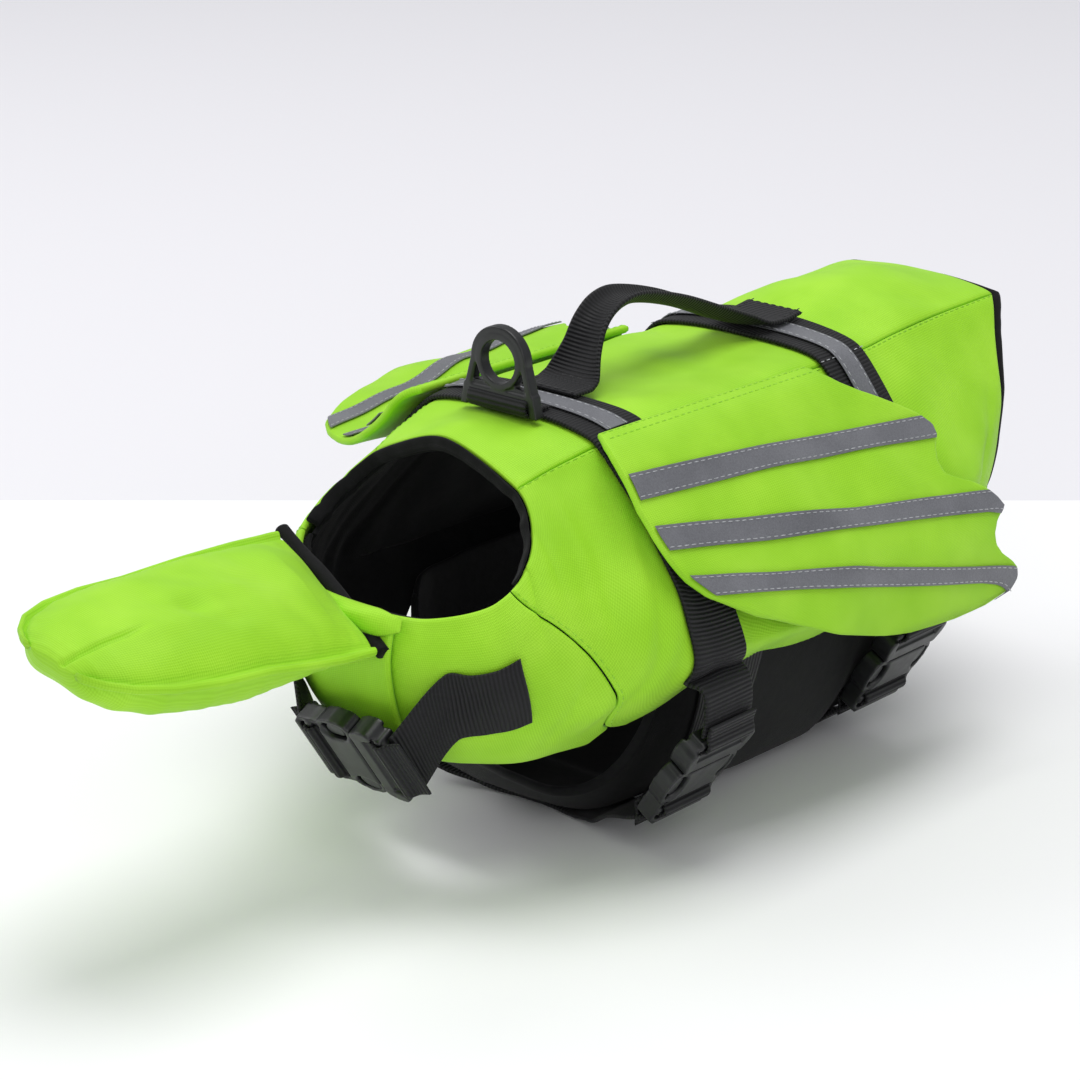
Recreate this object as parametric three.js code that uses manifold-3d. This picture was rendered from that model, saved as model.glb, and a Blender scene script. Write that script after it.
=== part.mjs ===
// Dog life jacket, extra small, buckled up and standing on its belly panel.
// Millimetres, +Z up, neck towards -Y, the wearer's left side towards +X, belly on z = 0.
import * as THREE from 'three';
import { mergeVertices } from 'three/addons/utils/BufferGeometryUtils.js';
import Module from 'manifold-3d';

const wasm = await Module();
wasm.setup();

// Cloth, webbing and gaps
const SHELL = 2.4;
const LINING = 1.8;
const GAP = 0.3;
const LINING_GAP = 0.9;
const BODY_LINING_GAP = 2.2;
const LAID = 0.5;
const WEBBING = 1.6;
const WEBBING_WIDTH = 25;
const TAPE = 0.5;
const TAPE_WIDTH = 10;
const WING = 3;
const NECK_TO_TAIL = 11;

// Where the girth webbings cross the back
const FRONT_STRAP_Y = -57.5;
const REAR_STRAP_Y = 65;

// Leash ring, moulded plastic, turning on its base bar
const RING_PIVOT = new THREE.Vector3(0, -74, 152.7);
const RING = {
  halfBase: 17, thickness: 4, archRadius: 12.2, archZ: 13.9, holeRadius: 7.4, rim: 3, foot: -3.4,
};
const RING_BRACE = 4.2;
const RING_WINDOW = [[10.9, 6.6], [9.9, 11.9], [7.2, 7]];
const BAR_RADIUS = 1.8;
const KEEPER = { bore: 2.15, outer: 3.7, halfLength: 13.1, tail: 10.5, tailZ: -2.4 };

const COLOURS = {
  shell: { color: 0xa8e22c, roughness: 0.72, metalness: 0 },
  lining: { color: 0x101112, roughness: 0.85, metalness: 0 },
  webbing: { color: 0x161617, roughness: 0.8, metalness: 0 },
  tape: { color: 0x76777a, roughness: 0.45, metalness: 0.1 },
  plastic: { color: 0x1b1c1e, roughness: 0.4, metalness: 0 },
};

// Reads rows of numbers under named columns
function table(columns, rows) {
  const names = columns.split(' ');
  return rows.map((row) => Object.fromEntries(row.map((value, i) => [names[i], value])));
}

// Girths of the jacket from the neck edge (first row) to the tail edge (last row).
// crown and keel are on the middle line, seam joins back and side, side is the widest point,
// hem is the lower edge of the side, lean says how the girth's plane bends between keel and seam.
const GIRTHS = table(
  'crownY crownZ seamX seamZ sideX sideZ hemX hemZ footX footZ keelY keelZ lean',
  [
    [-102, 147.4, 31.5, 136, 46, 120, 45, 107, 25, 99.5, -141, 98, 1.6],
    [-90, 148, 33.5, 139.5, 56, 110, 51, 91, 28, 83, -146, 81, 1.6],
    [-78, 148, 35.5, 142, 66, 99, 55, 72, 29, 61, -140, 58, 1.6],
    [-66, 148, 37, 143.5, 75, 87, 52, 55, 28, 42, -124, 38, 1.5],
    [-50, 148, 38, 144, 80, 80, 49, 47, 26, 30, -100, 26, 1.4],
    [-32, 148, 38.5, 144, 81, 78, 66, 58, 30, 14, -66, 4, 1.2],
    [-8, 148, 38.5, 144, 82, 77, 68, 62, 30, 6, -36, 0, 1.1],
    [30, 148, 38, 144, 82, 77, 67, 60, 30, 6, 15, 0, 1],
    [70, 148.2, 37, 143.5, 78, 84, 68, 64, 30, 6, 55, 0, 1],
    [105, 157.5, 35.5, 145.3, 72, 93, 67, 70, 30, 8, 80, 4, 0.95],
    [135, 157, 35, 146.3, 64, 103, 64, 77, 30, 12, 92, 12, 0.85],
    [165.5, 150.5, 35, 146.3, 56, 113, 60, 82, 30, 20, 100, 20, 0.8],
  ],
);
const AROUND = { crown: 0, seam: 0.2, side: 0.5, hem: 0.75, foot: 0.9, keel: 1 };
const SEAM_SOFTNESS = 0.45;
const FLANK_TENSION = 0.45;

// Dart between the chest panel and the side panel, from the neck to the lower edge
const DART = table('ring around', [[0, 0.69], [1, 0.6], [2, 0.58], [3, 0.6], [3.7, 0.66], [4.35, 0.75]]);

// Folds of the cloth: where each lies, how long and wide it is, and how deep (a trough is negative)
const FOLDS = table('ring around length width turn depth', [
  [3.1, 0.42, 0.34, 0.07, 0.1, 1.8],
  [3.8, 0.52, 0.3, 0.06, 0, -1.2],
  [2.1, 0.5, 0.24, 0.06, 0.5, -1.2],
  [0.5, 0.8, 0.4, 0.06, 1.4, -1],
  [10.4, 0.34, 0.24, 0.07, 0.9, -1.8],
  [9.4, 0.52, 0.3, 0.08, 0.2, 1.5],
]);

// Belly panel, a cradle that tucks inside the side panels; flat is the half-width that rests
const CRADLE = table('y halfWidth topZ bottomZ flat', [
  [-112, 32, 52, 37, 0],
  [-95, 38, 54, 26, 2],
  [-78, 46, 60, 14, 5],
  [-68, 52, 64, 8.4, 8],
  [-60, 57, 68, 4.4, 12],
  [-55, 59.3, 70, 2.7, 14],
  [-45, 62.8, 71, 2.5, 14],
  [-31, 63.6, 71, 2.5, 14.5],
  [-27, 63.6, 72, 0, 16],
  [10, 63, 72, 0, 25],
  [48, 63.3, 73, 0, 26],
  [52, 63.4, 74, 2.5, 21],
  [80, 62.8, 76, 2.5, 19],
  [92, 60, 78, 6, 16],
]);
// How much of the cradle's half girth the belly panel covers: a bridge between the leg openings, then all
const BELLY_CUT = table('y reach', [
  [-112, 0.62], [-95, 0.52], [-82, 0.5], [-74, 0.5], [-68, 0.56], [-63, 0.74], [-59, 0.93], [-55, 1],
  [92, 1],
]);

// Wing, laid flat: y of its front and rear edges at each distance out from the root seam
const WING_CUT = table('out front rear', [
  [0, -71, 40], [6, -75, 43], [11, -76.5, 47.5], [16, -77, 54], [22, -77, 63.5], [30, -77.5, 77],
  [36, -76.5, 83], [40, -76, 83], [44, -75, 79.5], [49, -73.5, 77], [54, -71.5, 77.5], [57, -70, 82.5],
  [60, -67.5, 89], [64, -64, 95.5], [68, -57.5, 100], [72, -51, 103], [76, -43.5, 96], [80, -33, 93],
  [84, -24, 93], [88, -14.5, 96], [92, -5, 101.5], [95, 5.5, 104], [98, 16, 104], [100, 24, 102],
  [102, 37, 99], [104, 66, 80],
]);
// Wing profile: the slope of the cloth, in degrees below level, at each distance out
const WING_ROOT = { x: 39, z: 146.4, y: -71, fall: 0.02 };
const LEFT_WING = { side: 1, slopes: table('out slope', [
  [0, 8], [10, 36], [22, 54], [60, 58], [80, 74], [109, 88],
]) };
const RIGHT_WING = { side: -1, slopes: table('out slope', [
  [0, 11], [12, 60], [30, 36], [50, -2], [70, -4], [90, 14], [104, 26],
]) };
// Reflective tapes on a wing: distance out at the front edge, the middle and the tip
const WING_TAPES = table('front middle tip', [[22.5, 28, 36.5], [41, 55, 69.5], [60, 81, 98.5]]);

// Handle's middle line, from its front patch to its rear patch
const HANDLE = table('y z width', [
  [-51, 151.4, 25], [-41, 151.4, 25], [-36, 153, 23], [-30, 160.5, 17], [-25, 168.5, 15], [-18, 173, 15],
  [-8, 173.6, 15], [13, 168, 15], [38, 158, 15], [50, 153.8, 19], [57, 152.4, 24], [66, 152.5, 25],
  [76, 153.6, 25],
]);

// Chin float: stations from its root to its tip
const FLOAT_ROOT = { far: new THREE.Vector3(-44, -135.5, 113), near: new THREE.Vector3(15, -149.5, 88) };
const FLOAT_TIP = new THREE.Vector3(-14, -264, 112);
const FLOAT_TIP_ROLL = 12;
const FLOAT_STATIONS = table('along width top bottom', [
  [0.035, 1, 3, 2.6], [0.08, 1.01, 6, 6], [0.16, 1.04, 9.5, 9], [0.32, 1.07, 11.5, 11],
  [0.5, 1.08, 12, 11.5], [0.66, 1.06, 11.5, 11], [0.8, 0.97, 10, 9.5], [0.9, 0.8, 8, 7.5],
  [0.96, 0.6, 6, 5.5], [1, 0.36, 3, 3],
]);

// Free stretches of webbing below the flank, as x and z at the strap's middle
const FRONT_STRAP_DROP = table('x z', [[83.2, 68], [84.4, 60], [83.2, 52.5]]);
const REAR_STRAP_DROP = table('x z', [[79.6, 66], [78, 60], [75.9, 54.5]]);
const FRONT_BELLY_RISE = table('x z', [[59.6, 17.6], [52, 15.4], [40, 11.4], [30, 5]]);
const REAR_BELLY_RISE = table('x z', [[53.9, 18.6], [47, 14.4], [38, 7.6]]);
const FAR_BELLY_RISE = table('x z', [[-38, 7.2], [-50, 15], [-61, 28], [-71, 44], [-78.3, 59.6]]);
const FAR_STRAP_DROP = table('x z', [[-81.6, 68], [-78.5, 60.1]]);

// Buckles: middle of the plate, direction from the loop end to the ladder end, and face direction
const BUCKLE = { width: 30, neck: 18.4, thickness: 9, loopEnd: 14, length: 41, slot: 12.8 };
const BUCKLES = {
  front_belly_buckle: { at: [71.5, FRONT_STRAP_Y, 35], along: [-0.56, 0, -0.83], face: [0.83, 0, -0.56] },
  rear_belly_buckle: { at: [65, REAR_STRAP_Y, 36.5], along: [-0.52, 0, -0.854], face: [0.854, 0, -0.52] },
  chest_buckle: { at: [4.5, -149, 51.5], along: [-0.994, 0.07, -0.075], face: [-0.02, -0.85, -0.52] },
};

// Chest straps: where the upper and lower edges are sewn to the chest, patch end first
const CHEST_PATCH = table('upperRing upperAround lowerRing lowerAround', [
  [1.2, 0.71, 2.24, 0.75], [1.16, 0.77, 2.2, 0.79], [1.12, 0.82, 2.16, 0.83], [1.05, 0.87, 2.12, 0.88],
]);

// Smooth curve through values at rising knots; softness scales the slope at a knot, tension both
// slopes of the stretch after one
function curve(knots, values, t, softness = {}, tension = {}) {
  let i = 0;
  while (i < knots.length - 2 && t > knots[i + 1]) i += 1;
  const slope = (k) => {
    const a = Math.max(k - 1, 0);
    const b = Math.min(k + 1, knots.length - 1);
    return ((values[b] - values[a]) / (knots[b] - knots[a])) * (softness[k] ?? 1);
  };
  const span = knots[i + 1] - knots[i];
  const pull = span * (tension[i] ?? 1);
  const w = (t - knots[i]) / span;
  const w2 = w * w;
  const w3 = w2 * w;
  return (2 * w3 - 3 * w2 + 1) * values[i] + (w3 - 2 * w2 + w) * pull * slope(i)
    + (3 * w2 - 2 * w3) * values[i + 1] + (w3 - w2) * pull * slope(i + 1);
}

// Straight-line reading of a table column
function between(rows, key, column, t) {
  let i = 0;
  while (i < rows.length - 2 && t > rows[i + 1][key]) i += 1;
  const w = THREE.MathUtils.clamp((t - rows[i][key]) / (rows[i + 1][key] - rows[i][key]), 0, 1);
  return THREE.MathUtils.lerp(rows[i][column], rows[i + 1][column], w);
}

const RING_KNOTS = GIRTHS.map((row, i) => i);
const girthValue = (column, s) => curve(RING_KNOTS, GIRTHS.map((row) => row[column]), s);

// Height of the folds above the plain surface
function relief(s, around) {
  return FOLDS.reduce((sum, fold) => {
    const ds = (s - fold.ring) * 0.12;
    const dg = around - fold.around;
    const along = ds * Math.sin(fold.turn) + dg * Math.cos(fold.turn);
    const across = ds * Math.cos(fold.turn) - dg * Math.sin(fold.turn);
    return sum + fold.depth * Math.exp(-((across / fold.width) ** 2) - ((along / (fold.length / 2)) ** 2));
  }, 0);
}

// Point of the jacket's outer surface: s runs from neck to tail, g around the left half from
// crown (0) to keel (1), below 0 on the right half, and past 1 or -1 over the keel
function plainShell(s, g) {
  const beyond = Math.abs(g) > 1;
  const around = beyond ? 2 - Math.abs(g) : Math.abs(g);
  const side = Math.sign(g || 1) * (beyond ? -1 : 1);
  const r = Object.fromEntries(Object.keys(GIRTHS[0]).map((name) => [name, girthValue(name, s)]));
  const knots = [-AROUND.seam, ...Object.values(AROUND), 2 - AROUND.foot];
  const softness = { 2: SEAM_SOFTNESS };
  const tension = { 3: THREE.MathUtils.lerp(1, FLANK_TENSION, THREE.MathUtils.smoothstep(s, 3, 5)) };
  const x = curve(knots, [-r.seamX, 0, r.seamX, r.sideX, r.hemX, r.footX, 0, -r.footX], around, softness,
    tension);
  const z = curve(knots, [r.seamZ, r.crownZ, r.seamZ, r.sideZ, r.hemZ, r.footZ, r.keelZ, r.footZ], around,
    softness, tension);
  const h = THREE.MathUtils.clamp((z - r.keelZ) / (r.seamZ - r.keelZ), 0, 1);
  const y = r.keelY + (r.crownY - r.keelY) * (1 - (1 - h) ** r.lean);
  return new THREE.Vector3(side * x, y, z);
}

// Outward direction of a surface given as a function of two numbers
function facing(surface, s, g) {
  const STEP = 0.01;
  const ds = surface(s + STEP, g).sub(surface(s - STEP, g));
  const dg = surface(s, g + STEP).sub(surface(s, g - STEP));
  return dg.cross(ds).normalize();
}

// Jacket surface with its folds, moved out by lift (in when negative)
function shell(s, g, lift = 0) {
  const around = Math.abs(g) > 1 ? 2 - Math.abs(g) : Math.abs(g);
  return plainShell(s, g).addScaledVector(facing(plainShell, s, g), lift + relief(s, around));
}

// Ring number at which a line around the jacket crosses y
function ringAt(y, g) {
  let low = 0;
  let high = NECK_TO_TAIL;
  for (let i = 0; i < 30; i += 1) {
    const middle = (low + high) / 2;
    if (plainShell(middle, g).y < y) low = middle;
    else high = middle;
  }
  return (low + high) / 2;
}

// Point of the belly cradle: t from -1 (right edge) to 1 (left edge), moved out by lift
function cradle(y, t, lift = 0) {
  const FLAT_SHARE = 0.3;
  const row = (column) => between(CRADLE, 'y', column, y);
  const size = Math.abs(t);
  const side = Math.sign(t);
  if (size < FLAT_SHARE) {
    return new THREE.Vector3(side * row('flat') * (size / FLAT_SHARE), y, row('bottomZ') - lift);
  }
  const angle = ((size - FLAT_SHARE) / (1 - FLAT_SHARE)) * (Math.PI / 2);
  const width = row('halfWidth') - row('flat') + lift;
  const depth = row('topZ') - row('bottomZ') + lift;
  return new THREE.Vector3(
    side * (row('flat') + width * Math.sin(angle)),
    y,
    row('topZ') - depth * Math.cos(angle),
  );
}

// Closed geometry from a list of points and triangles, with its faces pointing out
function closed(points, triangles) {
  const volume = triangles.reduce((sum, [a, b, c]) => (
    sum + points[a].dot(points[b].clone().cross(points[c]))), 0);
  const faces = volume < 0 ? triangles.map(([a, b, c]) => [a, c, b]) : triangles;
  const geometry = new THREE.BufferGeometry();
  geometry.setAttribute('position', new THREE.Float32BufferAttribute(points.flatMap((p) => p.toArray()), 3));
  geometry.setIndex(faces.flat());
  return geometry;
}

// Wall between an outer and an inner grid of points: rows x columns cells
function wall(rows, columns, outerAt, innerAt) {
  const points = [];
  const index = (layer, i, j) => layer * (rows + 1) * (columns + 1) + i * (columns + 1) + j;
  for (const pointAt of [outerAt, innerAt]) {
    for (let i = 0; i <= rows; i += 1) {
      for (let j = 0; j <= columns; j += 1) points.push(pointAt(i / rows, j / columns));
    }
  }
  const triangles = [];
  const quad = (a, b, c, d) => triangles.push([a, b, c], [a, c, d]);
  for (let i = 0; i < rows; i += 1) {
    for (let j = 0; j < columns; j += 1) {
      quad(index(0, i, j), index(0, i + 1, j), index(0, i + 1, j + 1), index(0, i, j + 1));
      quad(index(1, i, j), index(1, i, j + 1), index(1, i + 1, j + 1), index(1, i + 1, j));
    }
  }
  for (let i = 0; i < rows; i += 1) {
    quad(index(0, i, 0), index(1, i, 0), index(1, i + 1, 0), index(0, i + 1, 0));
    quad(index(0, i, columns), index(0, i + 1, columns), index(1, i + 1, columns), index(1, i, columns));
  }
  for (let j = 0; j < columns; j += 1) {
    quad(index(0, 0, j), index(0, 0, j + 1), index(1, 0, j + 1), index(1, 0, j));
    quad(index(0, rows, j), index(1, rows, j), index(1, rows, j + 1), index(0, rows, j + 1));
  }
  return closed(points, triangles);
}

// Wall on the jacket's surface; place turns the cell position into ring and around
function panel(rows, columns, place, top = 0, thickness = SHELL) {
  const at = (lift) => (a, b) => {
    const [s, g, extra = 0] = place(a, b);
    return shell(s, g, lift + extra);
  };
  return wall(rows, columns, at(top), at(top - thickness));
}

// Strip of webbing: base lines in planes of constant y, thickened away from the body
function strip(lines, thickness) {
  const rows = lines[0].length - 1;
  const columns = lines.length - 1;
  const at = (lift) => (a, b) => {
    const line = lines[Math.round(b * columns)];
    const i = Math.round(a * rows);
    const before = line[Math.max(i - 1, 0)];
    const after = line[Math.min(i + 1, rows)];
    const across = new THREE.Vector3(after.z - before.z, 0, before.x - after.x).normalize();
    return line[i].clone().addScaledVector(across, lift);
  };
  return wall(rows, columns, at(thickness), at(0));
}

// Webbing laid over the jacket at one y, equally far round both sides, with free ends
const GIRTH_STEP = 0.04;
function girthStrip(y, width, reach, lift, thickness, head = [], tail = []) {
  const steps = Math.round((2 * reach) / GIRTH_STEP);
  const lines = [-0.5, 0, 0.5].map((share) => {
    const lineY = y + share * width;
    const free = (rows) => rows.map((row) => new THREE.Vector3(row.x, lineY, row.z));
    const laid = [];
    for (let i = 0; i <= steps; i += 1) {
      const g = THREE.MathUtils.lerp(reach, -reach, i / steps);
      laid.push(shell(ringAt(lineY, g), g, lift));
    }
    return [...free(head), ...laid, ...free(tail)];
  });
  return strip(lines, thickness);
}

// Webbing under the belly panel, with free ends; slant moves its middle towards the tail
function bellyStrip(y, slant, head, tail) {
  const STEPS = 8;
  const REACH = 0.4;
  const middleY = (x) => y + slant * Math.max(0, 1 - (x / 46) ** 2);
  const lines = [-0.5, 0, 0.5].map((share) => {
    const point = (x, z) => new THREE.Vector3(x, middleY(x) + share * WEBBING_WIDTH, z);
    const free = (rows) => rows.map((row) => point(row.x, row.z));
    const laid = [];
    for (let i = 0; i <= STEPS; i += 1) {
      const t = THREE.MathUtils.lerp(REACH, -REACH, i / STEPS);
      const { x, z } = cradle(middleY(cradle(y, t).x), t, LAID);
      laid.push(point(x, z));
    }
    return [...free(head), ...laid, ...free(tail)];
  });
  return strip(lines.map((line) => line.toReversed()), WEBBING);
}

// Buckle's own directions: x along it, y across it, z out of its face
function buckleAxes({ along, face }) {
  const x = new THREE.Vector3(...along).normalize();
  const z = new THREE.Vector3(...face);
  z.addScaledVector(x, -z.dot(x)).normalize();
  return [x, z.clone().cross(x), z];
}

// Webbing sewn to one half of the chest and running free to the chest buckle
function chestStrap(side) {
  const [x, y] = buckleAxes(BUCKLES.chest_buckle);
  const reach = -side * (BUCKLE.length / 2 + 2 * GAP);
  const end = new THREE.Vector3(...BUCKLES.chest_buckle.at).addScaledVector(x, reach);
  const ACROSS = 4;
  const lines = [];
  for (let j = 0; j <= ACROSS; j += 1) {
    const share = j / ACROSS;
    const line = CHEST_PATCH.map((row) => shell(
      THREE.MathUtils.lerp(row.upperRing, row.lowerRing, share),
      side * THREE.MathUtils.lerp(row.upperAround, row.lowerAround, share),
      side > 0 ? LAID : 3 * LAID,
    ));
    line.push(end.clone().addScaledVector(y, (share - 0.5) * WEBBING_WIDTH));
    lines.push(line);
  }
  const rows = CHEST_PATCH.length;
  const at = (lift) => (a, b) => {
    const i = Math.round(a * rows);
    const j = Math.round(b * ACROSS);
    const across = lines[Math.min(j + 1, ACROSS)][i].clone().sub(lines[Math.max(j - 1, 0)][i]);
    const ahead = lines[j][Math.min(i + 1, rows)].clone().sub(lines[j][Math.max(i - 1, 0)]);
    const out = ahead.cross(across).multiplyScalar(side).normalize();
    return lines[j][i].clone().addScaledVector(out, lift);
  };
  return wall(rows, ACROSS, at(WEBBING), at(0));
}

// Wing sheet: point at a distance out from the root seam, moved off the cloth by lift
function wingPoint(wing, out, y, lift = 0) {
  const STEPS = 24;
  let x = WING_ROOT.x;
  let z = WING_ROOT.z - WING_ROOT.fall * (y - WING_ROOT.y);
  let slope = 0;
  for (let i = 0; i < STEPS; i += 1) {
    slope = THREE.MathUtils.degToRad(between(wing.slopes, 'out', 'slope', (out * (i + 0.5)) / STEPS));
    x += (Math.cos(slope) * out) / STEPS;
    z -= (Math.sin(slope) * out) / STEPS;
  }
  slope = THREE.MathUtils.degToRad(between(wing.slopes, 'out', 'slope', out));
  return new THREE.Vector3(wing.side * (x + Math.sin(slope) * lift), y, z + Math.cos(slope) * lift);
}

function wingGeometry(wing) {
  const rows = WING_CUT.length - 1;
  const COLUMNS = 8;
  const at = (lift) => (a, b) => {
    const row = WING_CUT[Math.round(a * rows)];
    return wingPoint(wing, row.out, THREE.MathUtils.lerp(row.front, row.rear, b), lift);
  };
  return wall(rows, COLUMNS, at(WING), at(0));
}

// y at which a line from front to rear leaves the wing
function wingEdge(out, column) {
  return between(WING_CUT, 'out', column, out);
}

function wingTapeGeometry(wing, tape) {
  const STEPS = 20;
  const ACROSS = 2;
  const INSET = 1.2;
  const TRIM = 2;
  const at = (lift) => (a, b) => {
    const out = curve([0, 0.5, 1], [tape.front, tape.middle, tape.tip], a) + (b - 0.5) * (TAPE_WIDTH - 0.8);
    const start = wingEdge(out, 'front') + INSET;
    const end = wingEdge(out, 'rear') - TRIM;
    return wingPoint(wing, out, THREE.MathUtils.lerp(start, end, a), lift);
  };
  return wall(STEPS, ACROSS, at(WING + LAID + TAPE), at(WING + LAID));
}

// Binding rolled over an edge of the jacket; width says how far it stands past the edge
function edgeBinding(s, direction, from, to, steps, width) {
  const at = (lift) => (a, b) => {
    const g = THREE.MathUtils.lerp(from, to, a);
    const past = 2 * GAP + b * width(Math.abs(g));
    const along = plainShell(s, g).sub(plainShell(s - direction * 0.05, g)).normalize();
    return shell(s, g, lift(b)).addScaledVector(along, past);
  };
  const outer = at((b) => 0.3 - 1.3 * b * b);
  const inner = at((b) => -(SHELL + LINING_GAP + LINING) + 1.3 * b * b);
  return wall(steps, 2, outer, inner);
}

// Flat outline given a thickness, centred on z = 0
function plate(shape, thickness) {
  const depth = { depth: thickness, bevelEnabled: false, curveSegments: 3 };
  const geometry = new THREE.ExtrudeGeometry(shape, depth);
  return geometry.translate(0, 0, -thickness / 2);
}

function roundedRectangle(x0, y0, x1, y1, radius) {
  const path = new THREE.Shape();
  path.moveTo(x0 + radius, y0).lineTo(x1 - radius, y0);
  path.absarc(x1 - radius, y0 + radius, radius, -Math.PI / 2, 0);
  path.lineTo(x1, y1 - radius).absarc(x1 - radius, y1 - radius, radius, 0, Math.PI / 2);
  path.lineTo(x0 + radius, y1).absarc(x0 + radius, y1 - radius, radius, Math.PI / 2, Math.PI);
  path.lineTo(x0, y0 + radius).absarc(x0 + radius, y0 + radius, radius, Math.PI, Math.PI * 1.5);
  return path;
}

function solidOf(geometry) {
  const bare = geometry.clone();
  bare.deleteAttribute('normal');
  bare.deleteAttribute('uv');
  const merged = mergeVertices(bare, 1e-4);
  const triangles = [];
  for (let i = 0; i < merged.index.count; i += 3) {
    const [a, b, c] = merged.index.array.slice(i, i + 3);
    if (a !== b && b !== c && c !== a) triangles.push(a, b, c);
  }
  return new wasm.Manifold(new wasm.Mesh({
    numProp: 3,
    vertProperties: new Float32Array(merged.attributes.position.array),
    triVerts: new Uint32Array(triangles),
  }));
}

function geometryOf(solid) {
  const mesh = solid.getMesh();
  const geometry = new THREE.BufferGeometry();
  geometry.setAttribute('position', new THREE.BufferAttribute(new Float32Array(mesh.vertProperties), 3));
  geometry.setIndex(new THREE.BufferAttribute(new Uint32Array(mesh.triVerts), 1));
  return geometry;
}

// Buckle halves in their own frame: x from the loop end to the ladder end, z out of the face
function bucklePlug() {
  const { slot } = BUCKLE;
  const half = BUCKLE.width / 2;
  const neck = BUCKLE.neck / 2;
  const shape = new THREE.Shape();
  shape.moveTo(1.5, -half).lineTo(BUCKLE.loopEnd, -half).lineTo(BUCKLE.loopEnd, -neck);
  shape.lineTo(BUCKLE.length - 13.9, -neck).lineTo(BUCKLE.length - 13.9, neck);
  shape.lineTo(BUCKLE.loopEnd, neck).lineTo(BUCKLE.loopEnd, half).lineTo(1.5, half);
  shape.lineTo(0, half - 1.5).lineTo(0, 1.5 - half);
  shape.holes.push(roundedRectangle(3, -slot, 6.2, slot, 0.8));
  return plate(shape, BUCKLE.thickness).translate(-BUCKLE.length / 2, 0, 0);
}

function buckleSocket() {
  const { slot } = BUCKLE;
  const half = BUCKLE.width / 2;
  const start = BUCKLE.length - 13.5;
  const inner = BUCKLE.neck / 2 + 0.4;
  const shape = new THREE.Shape();
  shape.moveTo(start, -inner).lineTo(start - 10, -inner).lineTo(BUCKLE.loopEnd + 0.4, -inner - 1.6);
  shape.lineTo(BUCKLE.loopEnd + 0.4, -half - 0.6).quadraticCurveTo(start - 8, -half - 2.2, start - 1, -half);
  shape.lineTo(BUCKLE.length, -half + 1).lineTo(BUCKLE.length, half - 1).lineTo(start - 1, half);
  shape.quadraticCurveTo(start - 8, half + 2.2, BUCKLE.loopEnd + 0.4, half + 0.6);
  shape.lineTo(BUCKLE.loopEnd + 0.4, inner + 1.6).lineTo(start - 10, inner).lineTo(start, inner);
  shape.holes.push(roundedRectangle(start + 2.4, -slot, start + 5.2, slot, 0.8));
  shape.holes.push(roundedRectangle(start + 8.2, -slot, start + 11, slot, 0.8));
  return plate(shape, BUCKLE.thickness - 1.6).translate(-BUCKLE.length / 2, 0, 0);
}

function leashRing() {
  const { halfBase, thickness, archRadius, archZ, holeRadius, rim, foot } = RING;
  const shape = new THREE.Shape();
  shape.moveTo(halfBase, foot).lineTo(archRadius, archZ).absarc(0, archZ, archRadius, 0, Math.PI);
  shape.lineTo(-halfBase, foot).lineTo(rim - halfBase, foot).lineTo(rim - halfBase + 0.4, RING_BRACE);
  shape.lineTo(halfBase - rim - 0.4, RING_BRACE).lineTo(halfBase - rim, foot);
  shape.holes.push(new THREE.Path().absarc(0, archZ, holeRadius, 0, Math.PI * 2));
  for (const side of [-1, 1]) {
    shape.holes.push(new THREE.Path(RING_WINDOW.map(([x, y]) => new THREE.Vector2(side * x, y))));
  }
  const arch = plate(shape, thickness).rotateX(Math.PI / 2);
  const barLength = 2 * (halfBase - rim) + 1.6;
  const bar = new THREE.CylinderGeometry(BAR_RADIUS, BAR_RADIUS, barLength, 16).rotateZ(Math.PI / 2);
  return geometryOf(solidOf(arch).add(solidOf(bar)));
}

// Roll of webbing round the ring's bar, with its sewn tail running back
function ringKeeper() {
  const { bore, outer, halfLength, tail, tailZ } = KEEPER;
  const shape = new THREE.Shape();
  shape.moveTo(tail, tailZ + WEBBING);
  shape.absarc(0, 0, outer, Math.asin((tailZ + WEBBING) / outer), 2 * Math.PI + Math.asin(tailZ / outer));
  shape.lineTo(tail, tailZ);
  shape.holes.push(new THREE.Path().absarc(0, 0, bore, 0, Math.PI * 2));
  const depth = { depth: 2 * halfLength, bevelEnabled: false, curveSegments: 18 };
  const roll = new THREE.ExtrudeGeometry(shape, depth);
  return roll.translate(0, 0, -halfLength).rotateY(Math.PI / 2).rotateX(Math.PI / 2);
}

function handleGeometry() {
  const STEPS = 34;
  const line = new THREE.CatmullRomCurve3(HANDLE.map((row) => new THREE.Vector3(0, row.y, row.z)), false,
    'centripetal');
  const spread = HANDLE.map((row) => new THREE.Vector3(row.width, row.y, row.z));
  const width = new THREE.CatmullRomCurve3(spread, false, 'centripetal');
  const at = (lift) => (a, b) => {
    const tangent = line.getTangent(a);
    const up = new THREE.Vector3(0, -tangent.z, tangent.y);
    return line.getPoint(a).addScaledVector(up, lift).setX((b - 0.5) * width.getPoint(a).x);
  };
  return wall(STEPS, 1, at(WEBBING / 2), at(-WEBBING / 2));
}

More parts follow.
